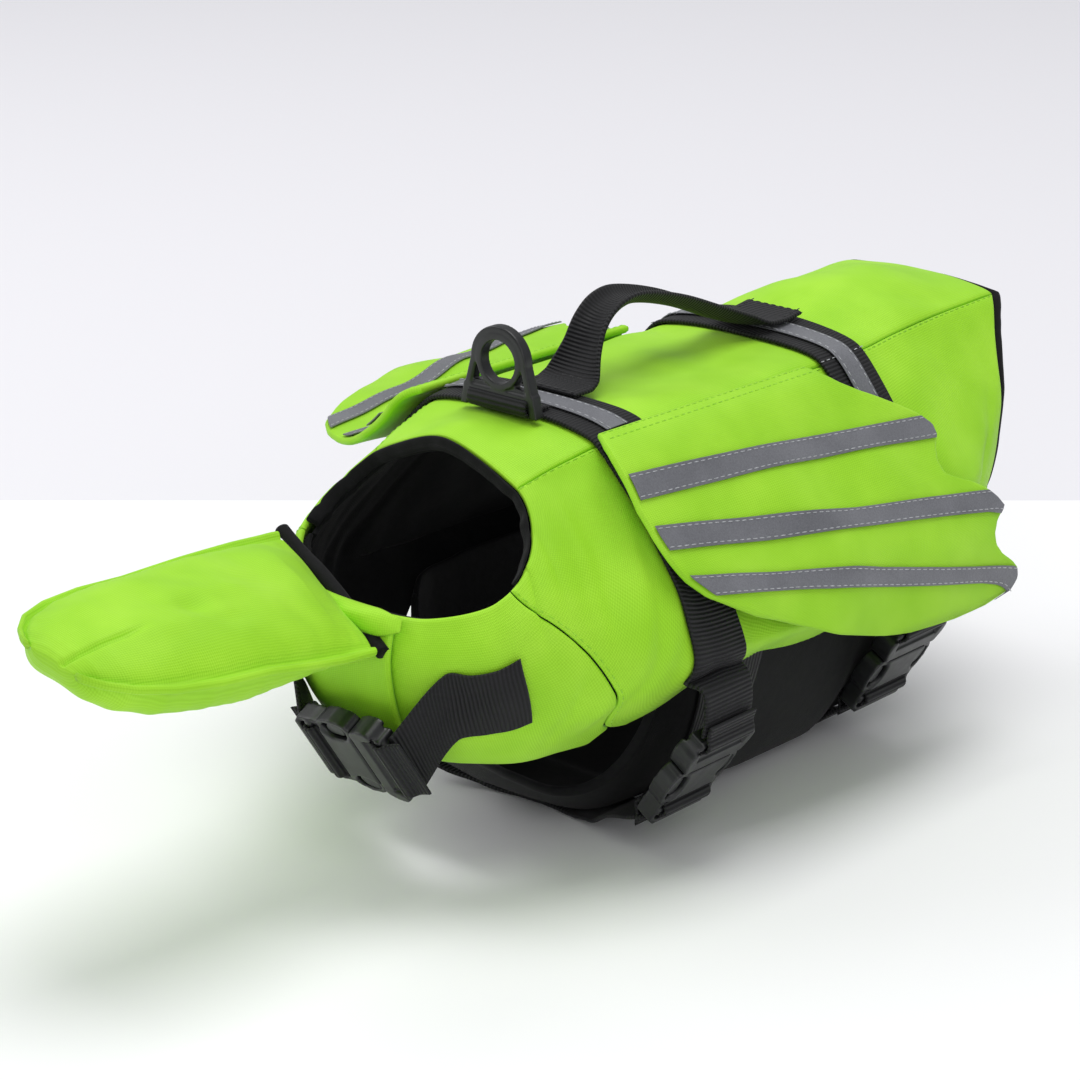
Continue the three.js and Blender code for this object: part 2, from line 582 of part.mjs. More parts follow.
// Padded chin float, crowned above and below its edge seam
function floatGeometry() {
  const ACROSS = 12;
  const root = FLOAT_ROOT.near.clone().sub(FLOAT_ROOT.far);
  const rootMiddle = FLOAT_ROOT.near.clone().add(FLOAT_ROOT.far).multiplyScalar(0.5);
  const roll = THREE.MathUtils.degToRad(FLOAT_TIP_ROLL);
  const tipSide = new THREE.Vector3(Math.cos(roll), 0, -Math.sin(roll));
  const halfWidth = root.length() / 2;
  const rows = FLOAT_STATIONS.length - 1;
  const at = (key, sign) => (a, b) => {
    const station = FLOAT_STATIONS[Math.round(a * rows)];
    const middle = rootMiddle.clone().lerp(FLOAT_TIP, station.along);
    const side = root.clone().normalize().lerp(tipSide, Math.min(station.along * 2, 1)).normalize();
    const up = side.clone().cross(FLOAT_TIP.clone().sub(rootMiddle)).negate().normalize();
    const share = b * 2 - 1;
    const crown = (1 - Math.abs(share) ** 2.6) ** 0.62;
    const WELT = 1;
    return middle.addScaledVector(side, share * halfWidth * station.width)
      .addScaledVector(up, sign * (WELT + station[key] * crown));
  };
  return wall(rows, ACROSS, at('top', 1), at('bottom', -1));
}

// Padded strip along the lower front of the neck, rounded in section
function throatStrip() {
  const STEPS = 12;
  const ROUND = 5;
  const SPAN = { from: 0.9, to: 1.26, top: -0.12, bottom: 0.46, height: 2.4 };
  const at = (bulge) => (a, b) => {
    const g = THREE.MathUtils.lerp(SPAN.from, SPAN.to, a);
    const s = THREE.MathUtils.lerp(SPAN.top, SPAN.bottom, b);
    return shell(s, g, SHELL + 3 * GAP + bulge * SPAN.height * Math.sqrt(Math.max(0, 1 - (2 * b - 1) ** 2)));
  };
  return wall(STEPS, ROUND, (a, b) => at(1)(a, b).addScaledVector(facing(plainShell, 0.4, 1), 0.4), at(0));
}

const root = new THREE.Group();

function add(name, geometry, finish, parent = root) {
  const mesh = new THREE.Mesh(geometry, new THREE.MeshStandardMaterial(COLOURS[finish]));
  mesh.name = name;
  parent.add(mesh);
  return mesh;
}

const SEAM_GAP = 0.006;
const BODY_RINGS = [
  0, 0.5, 1, 1.5, 2, 2.5, 3, 3.5, 4, 4.35, 4.6, 5, 5.5, 6, 6.5, 7, 7.5, 8, 8.25, 8.5, 9, 9.5, 10, 10.5, 11,
];
const BACK_COLUMNS = 6;
const SIDE_COLUMNS = 8;
const dartAt = (s) => curve(DART.map((row) => row.ring), DART.map((row) => row.around), s);
// Lower edge of the side panel behind the dart: it steps up under the strap and comes down to the hem again
const SIDE_EDGE = table('ring around', [
  [4.35, 0.75], [4.6, 0.63], [5, 0.63], [5.5, 0.66], [6, 0.71], [6.5, 0.75],
]);
const hemEdge = (s) => (s < 4.35 ? Math.min(dartAt(s), AROUND.hem) : AROUND.hem);
const sideEdge = (s) => (s < 4.35 ? hemEdge(s) : between(SIDE_EDGE, 'ring', 'around', s));

function addBody() {
  const { lerp, clamp, smoothstep } = THREE.MathUtils;
  const { seam, hem } = AROUND;
  const rows = BODY_RINGS.length - 1;
  const ring = (a) => BODY_RINGS[Math.round(a * rows)];
  add('back_panel', panel(rows, BACK_COLUMNS, (a, b) => [ring(a), lerp(-seam, seam, b)]), 'shell');
  for (const [name, side] of [['left', 1], ['right', -1]]) {
    add(`${name}_side_panel`, panel(rows, SIDE_COLUMNS, (a, b) => {
      const s = ring(a);
      return [s, side * lerp(seam + SEAM_GAP, sideEdge(s) - SEAM_GAP, b)];
    }), 'shell');
  }
  add('body_lining', panel(rows, BACK_COLUMNS + 2 * SIDE_COLUMNS, (a, b) => {
    const s = ring(a);
    const column = b * (BACK_COLUMNS + 2 * SIDE_COLUMNS) - SIDE_COLUMNS;
    const inBack = clamp(column, 0, BACK_COLUMNS);
    const past = (column - inBack) / SIDE_COLUMNS;
    const back = seam * ((2 * inBack) / BACK_COLUMNS - 1);
    const sewn = s > 4.35 ? (BODY_LINING_GAP - LAID) * smoothstep(Math.abs(past), 0.8, 1) : 0;
    return [s, back + past * (hemEdge(s) - seam - SEAM_GAP), sewn];
  }, -(SHELL + BODY_LINING_GAP), LINING), 'lining');
  const hemRing = (around) => lerp(2.78, 4.3, clamp((1 - around) / 0.25, 0, 1) ** 1.3);
  add('left_chest_panel', panel(10, 10, (a, b) => {
    const s = a * hemRing(lerp(1, hem, Math.min(1, (1 - b) * 1.2)));
    return [s, lerp(dartAt(s) + SEAM_GAP, 1.03, b)];
  }), 'shell');
  add('right_chest_panel', panel(10, 12, (a, b) => {
    const tip = 1 + 0.16 * smoothstep(b, 0.55, 0.8);
    const s = a * hemRing(lerp(1, hem, Math.min(1, (1 - b) * 1.6))) * tip;
    const g = lerp(-(dartAt(s) + SEAM_GAP), -1.055, b);
    return [s, g, (SHELL + 2 * GAP) * smoothstep(Math.abs(g), 0.84, 0.95)];
  }), 'shell');
  add('chest_lining', panel(10, 14, (a, b) => {
    const s = a * 3.3;
    return [s, lerp(dartAt(s) + 2 * SEAM_GAP, 2 - dartAt(s) - 2 * SEAM_GAP, b)];
  }, -(SHELL + LINING_GAP), LINING), 'lining');
}

function addBelly() {
  const stations = [
    -112, -103, -95, -88, -82, -78, -74, -71, -68, -65.5, -63, -61, -59, -57, -55, -45, -31, -27, -8, 10, 30,
    48, 52, 66, 80, 92,
  ];
  const at = (lift) => (a, b) => {
    const y = stations[Math.round(a * (stations.length - 1))];
    const reach = between(BELLY_CUT, 'y', 'reach', y);
    return cradle(y, (b * 2 - 1) * reach, lift);
  };
  add('belly_panel', wall(stations.length - 1, 20, at(0), at(-SHELL)), 'lining');
}

function addStraps() {
  add('front_girth_webbing', girthStrip(FRONT_STRAP_Y, WEBBING_WIDTH, 0.58, LAID, WEBBING,
    FRONT_STRAP_DROP.toReversed(), FAR_STRAP_DROP), 'webbing');
  add('rear_girth_webbing', girthStrip(REAR_STRAP_Y, WEBBING_WIDTH, 0.58, LAID, WEBBING,
    REAR_STRAP_DROP.toReversed(), FAR_STRAP_DROP), 'webbing');
  const tapeLift = 2 * LAID + WEBBING;
  add('front_girth_tape', girthStrip(FRONT_STRAP_Y, TAPE_WIDTH, 0.18, tapeLift, TAPE), 'tape');
  add('rear_girth_tape', girthStrip(REAR_STRAP_Y, TAPE_WIDTH, 0.3, tapeLift, TAPE), 'tape');
  add('front_belly_webbing', bellyStrip(FRONT_STRAP_Y, 13.5, FRONT_BELLY_RISE, FAR_BELLY_RISE), 'webbing');
  add('rear_belly_webbing', bellyStrip(REAR_STRAP_Y, 0, REAR_BELLY_RISE, FAR_BELLY_RISE), 'webbing');
  add('left_chest_strap', chestStrap(1), 'webbing');
  add('right_chest_strap', chestStrap(-1), 'webbing');
  add('handle', handleGeometry(), 'webbing');
  const keeper = add('ring_keeper', ringKeeper(), 'webbing');
  keeper.position.copy(RING_PIVOT);
  const ring = add('leash_ring', leashRing(), 'plastic');
  ring.position.copy(RING_PIVOT);
}

function addWings() {
  for (const [name, wing] of [['left', LEFT_WING], ['right', RIGHT_WING]]) {
    add(`${name}_wing`, wingGeometry(wing), 'shell');
    WING_TAPES.forEach((tape, i) => {
      add(`${name}_wing_tape_${i + 1}`, wingTapeGeometry(wing, tape), 'tape');
    });
  }
}

function addBuckles() {
  for (const [name, buckle] of Object.entries(BUCKLES)) {
    const group = new THREE.Group();
    group.applyMatrix4(new THREE.Matrix4().makeBasis(...buckleAxes(buckle)).setPosition(...buckle.at));
    add(`${name}_plug`, bucklePlug(), 'plastic', group);
    add(`${name}_socket`, buckleSocket(), 'plastic', group);
    root.add(group);
  }
}

function addEdges() {
  add('neck_binding', edgeBinding(0, -1, -0.66, 0.66, 24, () => 1.4), 'lining');
  const lobe = (around) => 1.6 + 4.2 * THREE.MathUtils.smoothstep(around, 0.1, 0.24);
  add('tail_binding', edgeBinding(NECK_TO_TAIL, 1, -AROUND.hem, AROUND.hem, 30, lobe), 'lining');
}

addBody();
addBelly();
addStraps();
addWings();
addBuckles();
addEdges();
add('throat_strip', throatStrip(), 'shell');
add('chin_float', floatGeometry(), 'shell');

export default root;
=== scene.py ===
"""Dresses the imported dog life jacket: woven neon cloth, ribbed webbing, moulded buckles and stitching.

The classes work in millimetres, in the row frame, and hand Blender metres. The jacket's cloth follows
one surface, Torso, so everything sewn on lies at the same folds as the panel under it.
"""
from __future__ import annotations

import logging
import math
from dataclasses import dataclass, field
from enum import Enum
from typing import Callable, Sequence

import bmesh
import bpy
import numpy as np
from mathutils import Matrix, Vector


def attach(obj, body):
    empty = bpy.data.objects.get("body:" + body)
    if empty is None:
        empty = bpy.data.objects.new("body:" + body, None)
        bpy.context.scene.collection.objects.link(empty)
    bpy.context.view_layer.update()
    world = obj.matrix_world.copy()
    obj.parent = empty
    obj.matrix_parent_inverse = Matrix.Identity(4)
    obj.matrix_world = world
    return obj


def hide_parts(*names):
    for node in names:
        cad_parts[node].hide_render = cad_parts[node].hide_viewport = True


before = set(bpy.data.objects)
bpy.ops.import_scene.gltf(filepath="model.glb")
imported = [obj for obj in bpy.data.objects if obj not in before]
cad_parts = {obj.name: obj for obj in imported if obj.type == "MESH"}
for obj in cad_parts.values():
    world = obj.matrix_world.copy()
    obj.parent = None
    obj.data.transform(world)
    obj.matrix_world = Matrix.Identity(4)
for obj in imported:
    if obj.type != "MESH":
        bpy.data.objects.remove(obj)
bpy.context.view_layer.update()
LOG = logging.getLogger("life_jacket")
MM = 0.001
BODY = "jacket"
Array = np.ndarray


def srgb(code: str) -> tuple[float, float, float, float]:
    """Turns a screen colour into the linear colour that a shader takes.

    Args:
        code: Six hexadecimal digits, red first.

    Returns:
        Linear red, green, blue and an alpha of 1.
    """
    def linear(value: float) -> float:
        """One channel from screen to linear."""
        return value / 12.92 if value <= 0.04045 else ((value + 0.055) / 1.055) ** 2.4

    red, green, blue = (linear(int(code[i:i + 2], 16) / 255) for i in (0, 2, 4))
    return (red, green, blue, 1.0)


def table(columns: str, rows: Sequence[Sequence[float]]) -> dict[str, Array]:
    """Reads rows of numbers under named columns.

    Args:
        columns: Column names, parted by spaces.
        rows: The numbers, a row for each section.

    Returns:
        One array for each column.
    """
    values = np.array(rows, float)
    return {name: values[:, i] for i, name in enumerate(columns.split())}


def smoothstep(x: Array | float, low: float, high: float) -> Array | float:
    """Smooth rise from 0 at low to 1 at high.

    Args:
        x: Where to read it.
        low: Where it leaves 0.
        high: Where it reaches 1.

    Returns:
        The share, between 0 and 1.
    """
    t = np.clip((x - low) / (high - low), 0, 1)
    return t * t * (3 - 2 * t)


def curve(knots: Sequence[float], values: Array, t: Array, softness: dict[int, float] | None = None,
          tension: dict[int, Array] | None = None) -> Array:
    """Smooth curve through values at rising knots.

    Args:
        knots: Where the values stand.
        values: The values, knots on the last axis.
        t: Where to read the curve.
        softness: Scales the slope at a knot.
        tension: Scales both slopes of the stretch after a knot.

    Returns:
        The curve's values at t.
    """
    k = np.asarray(knots, float)
    t = np.asarray(t, float)
    v = np.broadcast_to(values, t.shape + (len(k),))
    before = np.maximum(np.arange(len(k)) - 1, 0)
    after = np.minimum(np.arange(len(k)) + 1, len(k) - 1)
    scale = np.ones(len(k))
    for knot, share in (softness or {}).items():
        scale[knot] = share
    slopes = (v[..., after] - v[..., before]) / (k[after] - k[before]) * scale
    i = np.clip(np.searchsorted(k, t, side="left") - 1, 0, len(k) - 2)
    pull = k[i + 1] - k[i]
    w = (t - k[i]) / pull
    for stretch, share in (tension or {}).items():
        pull = np.where(i == stretch, pull * share, pull)

    def pick(a: Array, j: Array) -> Array:
        """Reads one knot of each row."""
        return np.take_along_axis(a, j[..., None], -1)[..., 0]

    w2, w3 = w * w, w * w * w
    return ((2 * w3 - 3 * w2 + 1) * pick(v, i) + (w3 - 2 * w2 + w) * pull * pick(slopes, i)
            + (3 * w2 - 2 * w3) * pick(v, i + 1) + (w3 - w2) * pull * pick(slopes, i + 1))


def unit(v: Array) -> Array:
    """Vectors of length 1 along v."""
    return v / np.maximum(np.linalg.norm(v, axis=-1, keepdims=True), 1e-9)


def ripple(points: Array, seed: int, wavelength: float, waves: int = 14) -> Array:
    """Smooth random relief in space, the same for every layer of cloth at one place.

    Args:
        points: Where to read it, in mm.
        seed: Fixes the pattern.
        wavelength: Typical size of a fold, in mm.
        waves: How many waves are summed.

    Returns:
        Heights of about -1 to 1.
    """
    rng = np.random.default_rng(seed)
    direction = unit(rng.normal(size=(waves, 3)))
    number = 2 * math.pi / (wavelength * rng.uniform(0.75, 1.7, waves))
    phase = rng.uniform(0, 2 * math.pi, waves)
    total = sum(np.sin(points @ direction[k] * number[k] + phase[k]) for k in range(waves))
    return total / math.sqrt(waves)


def spaced(count: int, length: float, soft: Sequence[float] = (0.25, 0.7, 1.4)) -> Array:
    """Even steps from 0 to 1 with a few more close to both ends, for rounded edges.

    Args:
        count: Number of even steps.
        length: Length that 0 to 1 stands for, in mm.
        soft: Distances from the ends of the added steps, in mm.

    Returns:
        Rising numbers from 0 to 1.
    """
    near = [d / length for d in soft if d / length < 0.6 / count] or [0.25 / count]
    return np.unique(np.round(np.concatenate([np.linspace(0, 1, count + 1), near, 1 - np.array(near)]), 6))


class Finish(Enum):
    """Finishes of the jacket, named as the record's material slots."""

    NEON = "neon_cloth"
    BLACK = "black_cloth"
    WEBBING = "black_webbing"
    TAPE = "reflective_tape"
    PLASTIC = "black_plastic"


class Nodes:
    """Shader tree of one material, filled by one function."""

    def __init__(self, name: str) -> None:
        """Starts a material with an empty tree and places in space."""
        self.material = bpy.data.materials.new(name)
        self.material.use_nodes = True
        self.tree = self.material.node_tree
        self.tree.nodes.clear()
        self.place = self.add("ShaderNodeTexCoord", output="Object")

    def add(self, kind: str, *values: object, output: str | int = 0, stops: Sequence = (), **settings: object
            ) -> bpy.types.NodeSocket:
        """Adds a node with its settings and links.

        Args:
            kind: Blender's node type, with its operation after a dot where it has one.
            values: Numbers or sockets for its first inputs.
            output: Which output is wanted.
            stops: Places and colours of a colour ramp.
            settings: Properties by name, and inputs by name with spaces as underscores.

        Returns:
            The output socket.
        """
        kind, _, operation = kind.partition(".")
        node = self.tree.nodes.new(kind)
        if operation:
            node.operation = operation
        pairs = list(zip(node.inputs, values))
        for key, value in settings.items():
            if hasattr(node, key):
                setattr(node, key, value)
            else:
                name = key.replace("_", " ").lower()
                pairs.append((next(s for s in node.inputs if s.name.lower() == name), value))
        for socket, value in pairs:
            if isinstance(value, bpy.types.NodeSocket):
                self.tree.links.new(value, socket)
            else:
                socket.default_value = value
        while len(stops) > len(node.color_ramp.elements if stops else ()):
            node.color_ramp.elements.new(0.5)
        for element, (where, code) in zip(node.color_ramp.elements if stops else (), stops):
            element.position, element.color = where, srgb(code)
        return node.outputs[output] if len(node.outputs) else node.inputs[0]

    def grain(self, size: float, detail: float = 2.0, roughness: float = 0.5) -> bpy.types.NodeSocket:
        """Cloudy pattern whose blotches are size millimetres across."""
        return self.add("ShaderNodeTexNoise", self.place, Scale=1 / (size * MM), Detail=detail,
                        Roughness=roughness)

    def threads(self, turn: float, pitch: float) -> bpy.types.NodeSocket:
        """Rows of threads on the cloth, from -1 to 1.

        Args:
            turn: Share of the way across that each row climbs: 0 for rows across, 1 or -1 for diagonals.
            pitch: Millimetres from row to row, measured along the cloth.

        Returns:
            The pattern.
        """
        parts = self.add("ShaderNodeUVMap", uv_map="cloth")
        split = self.tree.nodes.new("ShaderNodeSeparateXYZ")
        self.tree.links.new(parts, split.inputs[0])
        wavelengths = 2 * math.pi * 100 / pitch
        rows = self.add("ShaderNodeMath.MULTIPLY_ADD", split.outputs["X"], turn, split.outputs["Y"])
        return self.add("ShaderNodeMath.SINE", self.add("ShaderNodeMath.MULTIPLY", rows, wavelengths))

    def close(self, **inputs: object) -> bpy.types.Material:
        """Ends the tree in a Principled shader and gives the material."""
        self.add("ShaderNodeOutputMaterial", self.add("ShaderNodeBsdfPrincipled", **inputs))
        return self.material


@dataclass(frozen=True)
class NeonCloth:
    """Coated polyester oxford, dyed fluorescent green and woven as a fine diagonal basket."""

    # The eye gets an even, slightly chalky green with a soft sheen along the folds.
    shade: str = "90CE1D"
    middle: str = "9CD928"
    light: str = "AAE338"
    # Real threads are 0.5 mm apart; they are drawn 1.15 mm apart so that they show.
    pitch: float = 1.15
    depth: float = 0.10

    def material(self) -> bpy.types.Material:
        """Builds the material."""
        n = Nodes("polyester_oxford_neon")
        basket = n.add("ShaderNodeMath.MULTIPLY", n.threads(1, self.pitch * 1.4), n.threads(-1, self.pitch * 1.4))
        weave = n.add("ShaderNodeMath.MULTIPLY_ADD", basket, 0.5, 0.5)
        tone = n.add("ShaderNodeMath.MULTIPLY_ADD", weave, 0.3,
                     n.add("ShaderNodeMath.MULTIPLY", n.grain(28), 0.7))
        colour = n.add("ShaderNodeValToRGB", tone,
                       stops=[(0.3, self.shade), (0.5, self.middle), (0.72, self.light)])
        slack = n.add("ShaderNodeBump", Height=n.grain(9), Distance=0.5 * MM, Strength=0.3)
        relief = n.add("ShaderNodeBump", Height=weave, Distance=self.depth * MM, Strength=0.9, Normal=slack)
        rough = n.add("ShaderNodeMath.MULTIPLY_ADD", n.grain(16, 3), 0.14, 0.52)
        return n.close(Base_Color=colour, Roughness=rough, Normal=relief, Sheen_Weight=0.06,
                       Sheen_Roughness=0.4, Specular_IOR_Level=0.28)


@dataclass(frozen=True)
class BlackCloth:
    """Black polyester lining, plain woven and brushed dull."""

    # The eye gets a deep black that only lightens where it turns away.
    dark: str = "060607"
    light: str = "121214"
    # Real threads are 0.3 mm apart; they are drawn 0.9 mm apart so that they show.
    pitch: float = 0.9
    depth: float = 0.06

    def material(self) -> bpy.types.Material:
        """Builds the material."""
        n = Nodes("polyester_lining_black")
        plain = n.add("ShaderNodeMath.MULTIPLY", n.threads(0.999, self.pitch), n.threads(-0.999, self.pitch))
        weave = n.add("ShaderNodeMath.MULTIPLY_ADD", plain, 0.5, 0.5)
        tone = n.add("ShaderNodeMath.MULTIPLY_ADD", weave, 0.35,
                     n.add("ShaderNodeMath.MULTIPLY", n.grain(2.2, 3), 0.65))
        colour = n.add("ShaderNodeValToRGB", tone, stops=[(0.3, self.dark), (0.78, self.light)])
        slack = n.add("ShaderNodeBump", Height=n.grain(7, 3), Distance=0.5 * MM, Strength=0.35)
        relief = n.add("ShaderNodeBump", Height=weave, Distance=self.depth * MM, Strength=0.8, Normal=slack)
        return n.close(Base_Color=colour, Roughness=0.82, Normal=relief, Sheen_Weight=0.05,
                       Sheen_Roughness=0.5, Specular_IOR_Level=0.2)


@dataclass(frozen=True)
class RibbedWebbing:
    """Black polyester webbing: cross ribs at their real 1.45 mm, fine yarns along it."""

    # The rib tops are painted lighter than the grooves between them: a painted highlight on each ridge, mixed with a
    # random fine grain.
    dark: str = "050506"
    light: str = "1C1C1F"
    rib: float = 1.45
    depth: float = 0.3

    def material(self) -> bpy.types.Material:
        """Builds the material."""
        n = Nodes("polyester_webbing_black")
        rib = n.add("ShaderNodeMath.MULTIPLY_ADD", n.threads(0, self.rib), 0.5, 0.5)
        # Colour: painted highlight on the rib tops (0.65) with random grain (0.35).
        tone = n.add("ShaderNodeMath.MULTIPLY_ADD", rib, 0.65,
                     n.add("ShaderNodeMath.MULTIPLY", n.grain(1.4, 3), 0.35))
        colour = n.add("ShaderNodeValToRGB", tone, stops=[(0.2, self.dark), (0.88, self.light)])
        yarn = n.add("ShaderNodeBump", Height=n.grain(0.5), Distance=0.08 * MM, Strength=0.5)
        relief = n.add("ShaderNodeBump", Height=rib, Distance=self.depth * MM, Strength=0.9, Normal=yarn)
        return n.close(Base_Color=colour, Roughness=0.6, Normal=relief, Sheen_Weight=0.05,
                       Sheen_Roughness=0.4, Specular_IOR_Level=0.3)


@dataclass(frozen=True)
class GreyTape:
    """Grey retroreflective tape: glass beads pressed on a woven backing."""

    # The eye gets a satin mid-grey with a faint sparkle.
    dark: str = "606166"
    light: str = "7A7B80"

    def material(self) -> bpy.types.Material:
        """Builds the material."""
        n = Nodes("retroreflective_tape_grey")
        beads = n.grain(0.55, 2, 0.6)
        tone = n.add("ShaderNodeMath.MULTIPLY_ADD", beads, 0.5,
                     n.add("ShaderNodeMath.MULTIPLY", n.grain(24, 3), 0.5))
        colour = n.add("ShaderNodeValToRGB", tone, stops=[(0.35, self.dark), (0.65, self.light)])
        relief = n.add("ShaderNodeBump", Height=beads, Distance=0.03 * MM, Strength=0.6)
        return n.close(Base_Color=colour, Roughness=0.46, Metallic=0.1, Specular_IOR_Level=0.5, Normal=relief)


@dataclass(frozen=True)
class MouldedAcetal:
    """Black acetal, injection moulded, with a fine spark-eroded grain."""

    # The eye gets soft grey highlights on every rounded edge.
    dark: str = "101112"
    light: str = "1C1D1F"

    def material(self) -> bpy.types.Material:
        """Builds the material."""
        n = Nodes("moulded_acetal_black")
        colour = n.add("ShaderNodeValToRGB", n.grain(6, 3), stops=[(0.35, self.dark), (0.7, self.light)])
        rough = n.add("ShaderNodeMath.MULTIPLY_ADD", n.grain(4, 3), 0.16, 0.3)
        relief = n.add("ShaderNodeBump", Height=n.grain(0.4, 2, 0.6), Distance=0.012 * MM, Strength=0.7)
        return n.close(Base_Color=colour, Roughness=rough, Normal=relief, Specular_IOR_Level=0.5)


@dataclass(frozen=True)
class Thread:
    """Spun polyester sewing thread, with its twist."""

    name: str
    deep: str
    lit: str

    def material(self) -> bpy.types.Material:
        """Builds the material."""
        n = Nodes(self.name)
        twist = n.grain(0.6)
        colour = n.add("ShaderNodeValToRGB", twist, stops=[(0.3, self.deep), (0.7, self.lit)])
        relief = n.add("ShaderNodeBump", Height=twist, Distance=0.05 * MM, Strength=0.6)
        return n.close(Base_Color=colour, Roughness=0.5, Normal=relief, Sheen_Weight=0.2,
                       Specular_IOR_Level=0.4)


@dataclass(frozen=True)
class PaleGround:
    """Pale studio floor, white close by and a little darker and cooler past a line across the view behind the jacket.
    """

    near: str = "F6F6F7"
    far: str = "E8E7EB"
    change: float = 0.289

    def material(self) -> bpy.types.Material:
        """Builds the material."""
        n = Nodes("studio_floor_pale")
        split = n.tree.nodes.new("ShaderNodeSeparateXYZ")
        n.tree.links.new(n.place, split.inputs[0])
        # The floor turns darker and cooler past this line, which runs across the view.
        share = n.add("ShaderNodeMath.GREATER_THAN", split.outputs["Y"], self.change)
        colour = n.add("ShaderNodeValToRGB", share, stops=[(0.0, self.near), (1.0, self.far)])
        relief = n.add("ShaderNodeBump", Height=n.grain(2.5), Distance=0.02 * MM, Strength=0.3)
        return n.close(Base_Color=colour, Roughness=0.62, Specular_IOR_Level=0.25, Normal=relief)


class Wardrobe:
    """Makes each finish once and puts it on meshes."""

    def __init__(self) -> None:
        """Builds every finish."""
        self.by_finish: dict[Finish, bpy.types.Material] = {
            Finish.NEON: NeonCloth().material(),
            Finish.BLACK: BlackCloth().material(),
            Finish.WEBBING: RibbedWebbing().material(),
            Finish.TAPE: GreyTape().material(),
            Finish.PLASTIC: MouldedAcetal().material(),
        }
        self.threads = {
            "neon": Thread("polyester_thread_neon", "7DBB18", "A9E62C").material(),
            "pale": Thread("polyester_thread_pale", "8F9194", "C2C4C8").material(),
            "black": Thread("polyester_thread_black", "101011", "2A2A2D").material(),
        }

    def dress(self, thing: bpy.types.Object, finish: Finish) -> None:
        """Puts a finish on an object.

        Args:
            thing: The mesh object.
            finish: Which finish.
        """
        thing.data.materials.clear()
        thing.data.materials.append(self.by_finish[finish])


SHELL, LINING, WEBBING, TAPE, WING = 2.4, 1.8, 1.6, 0.5, 3.0
GAP, LAID, LINING_GAP, BODY_LINING_GAP = 0.3, 0.5, 0.9, 2.2
STRAP_WIDTH, TAPE_WIDTH = 25.0, 10.0
FRONT_STRAP_Y, REAR_STRAP_Y = -57.5, 65.0


def fold(u: Array, v: Array, folds: dict[str, Array]) -> Array:
    """Height of listed folds.

    Args:
        u: First coordinate of each point.
        v: Second coordinate of each point.
        folds: Columns u, v, length, width, turn and depth; a trough is negative.

    Returns:
        Heights in mm.
    """
    total = np.zeros(np.shape(u))
    for k in range(len(folds["depth"])):
        du, dv = u - folds["u"][k], v - folds["v"][k]
        turn = folds["turn"][k]
        along = du * math.sin(turn) + dv * math.cos(turn)
        across = du * math.cos(turn) - dv * math.sin(turn)
        total += folds["depth"][k] * np.exp(-(across / folds["width"][k]) ** 2
                                            - (along / (folds["length"][k] / 2)) ** 2)
    return total


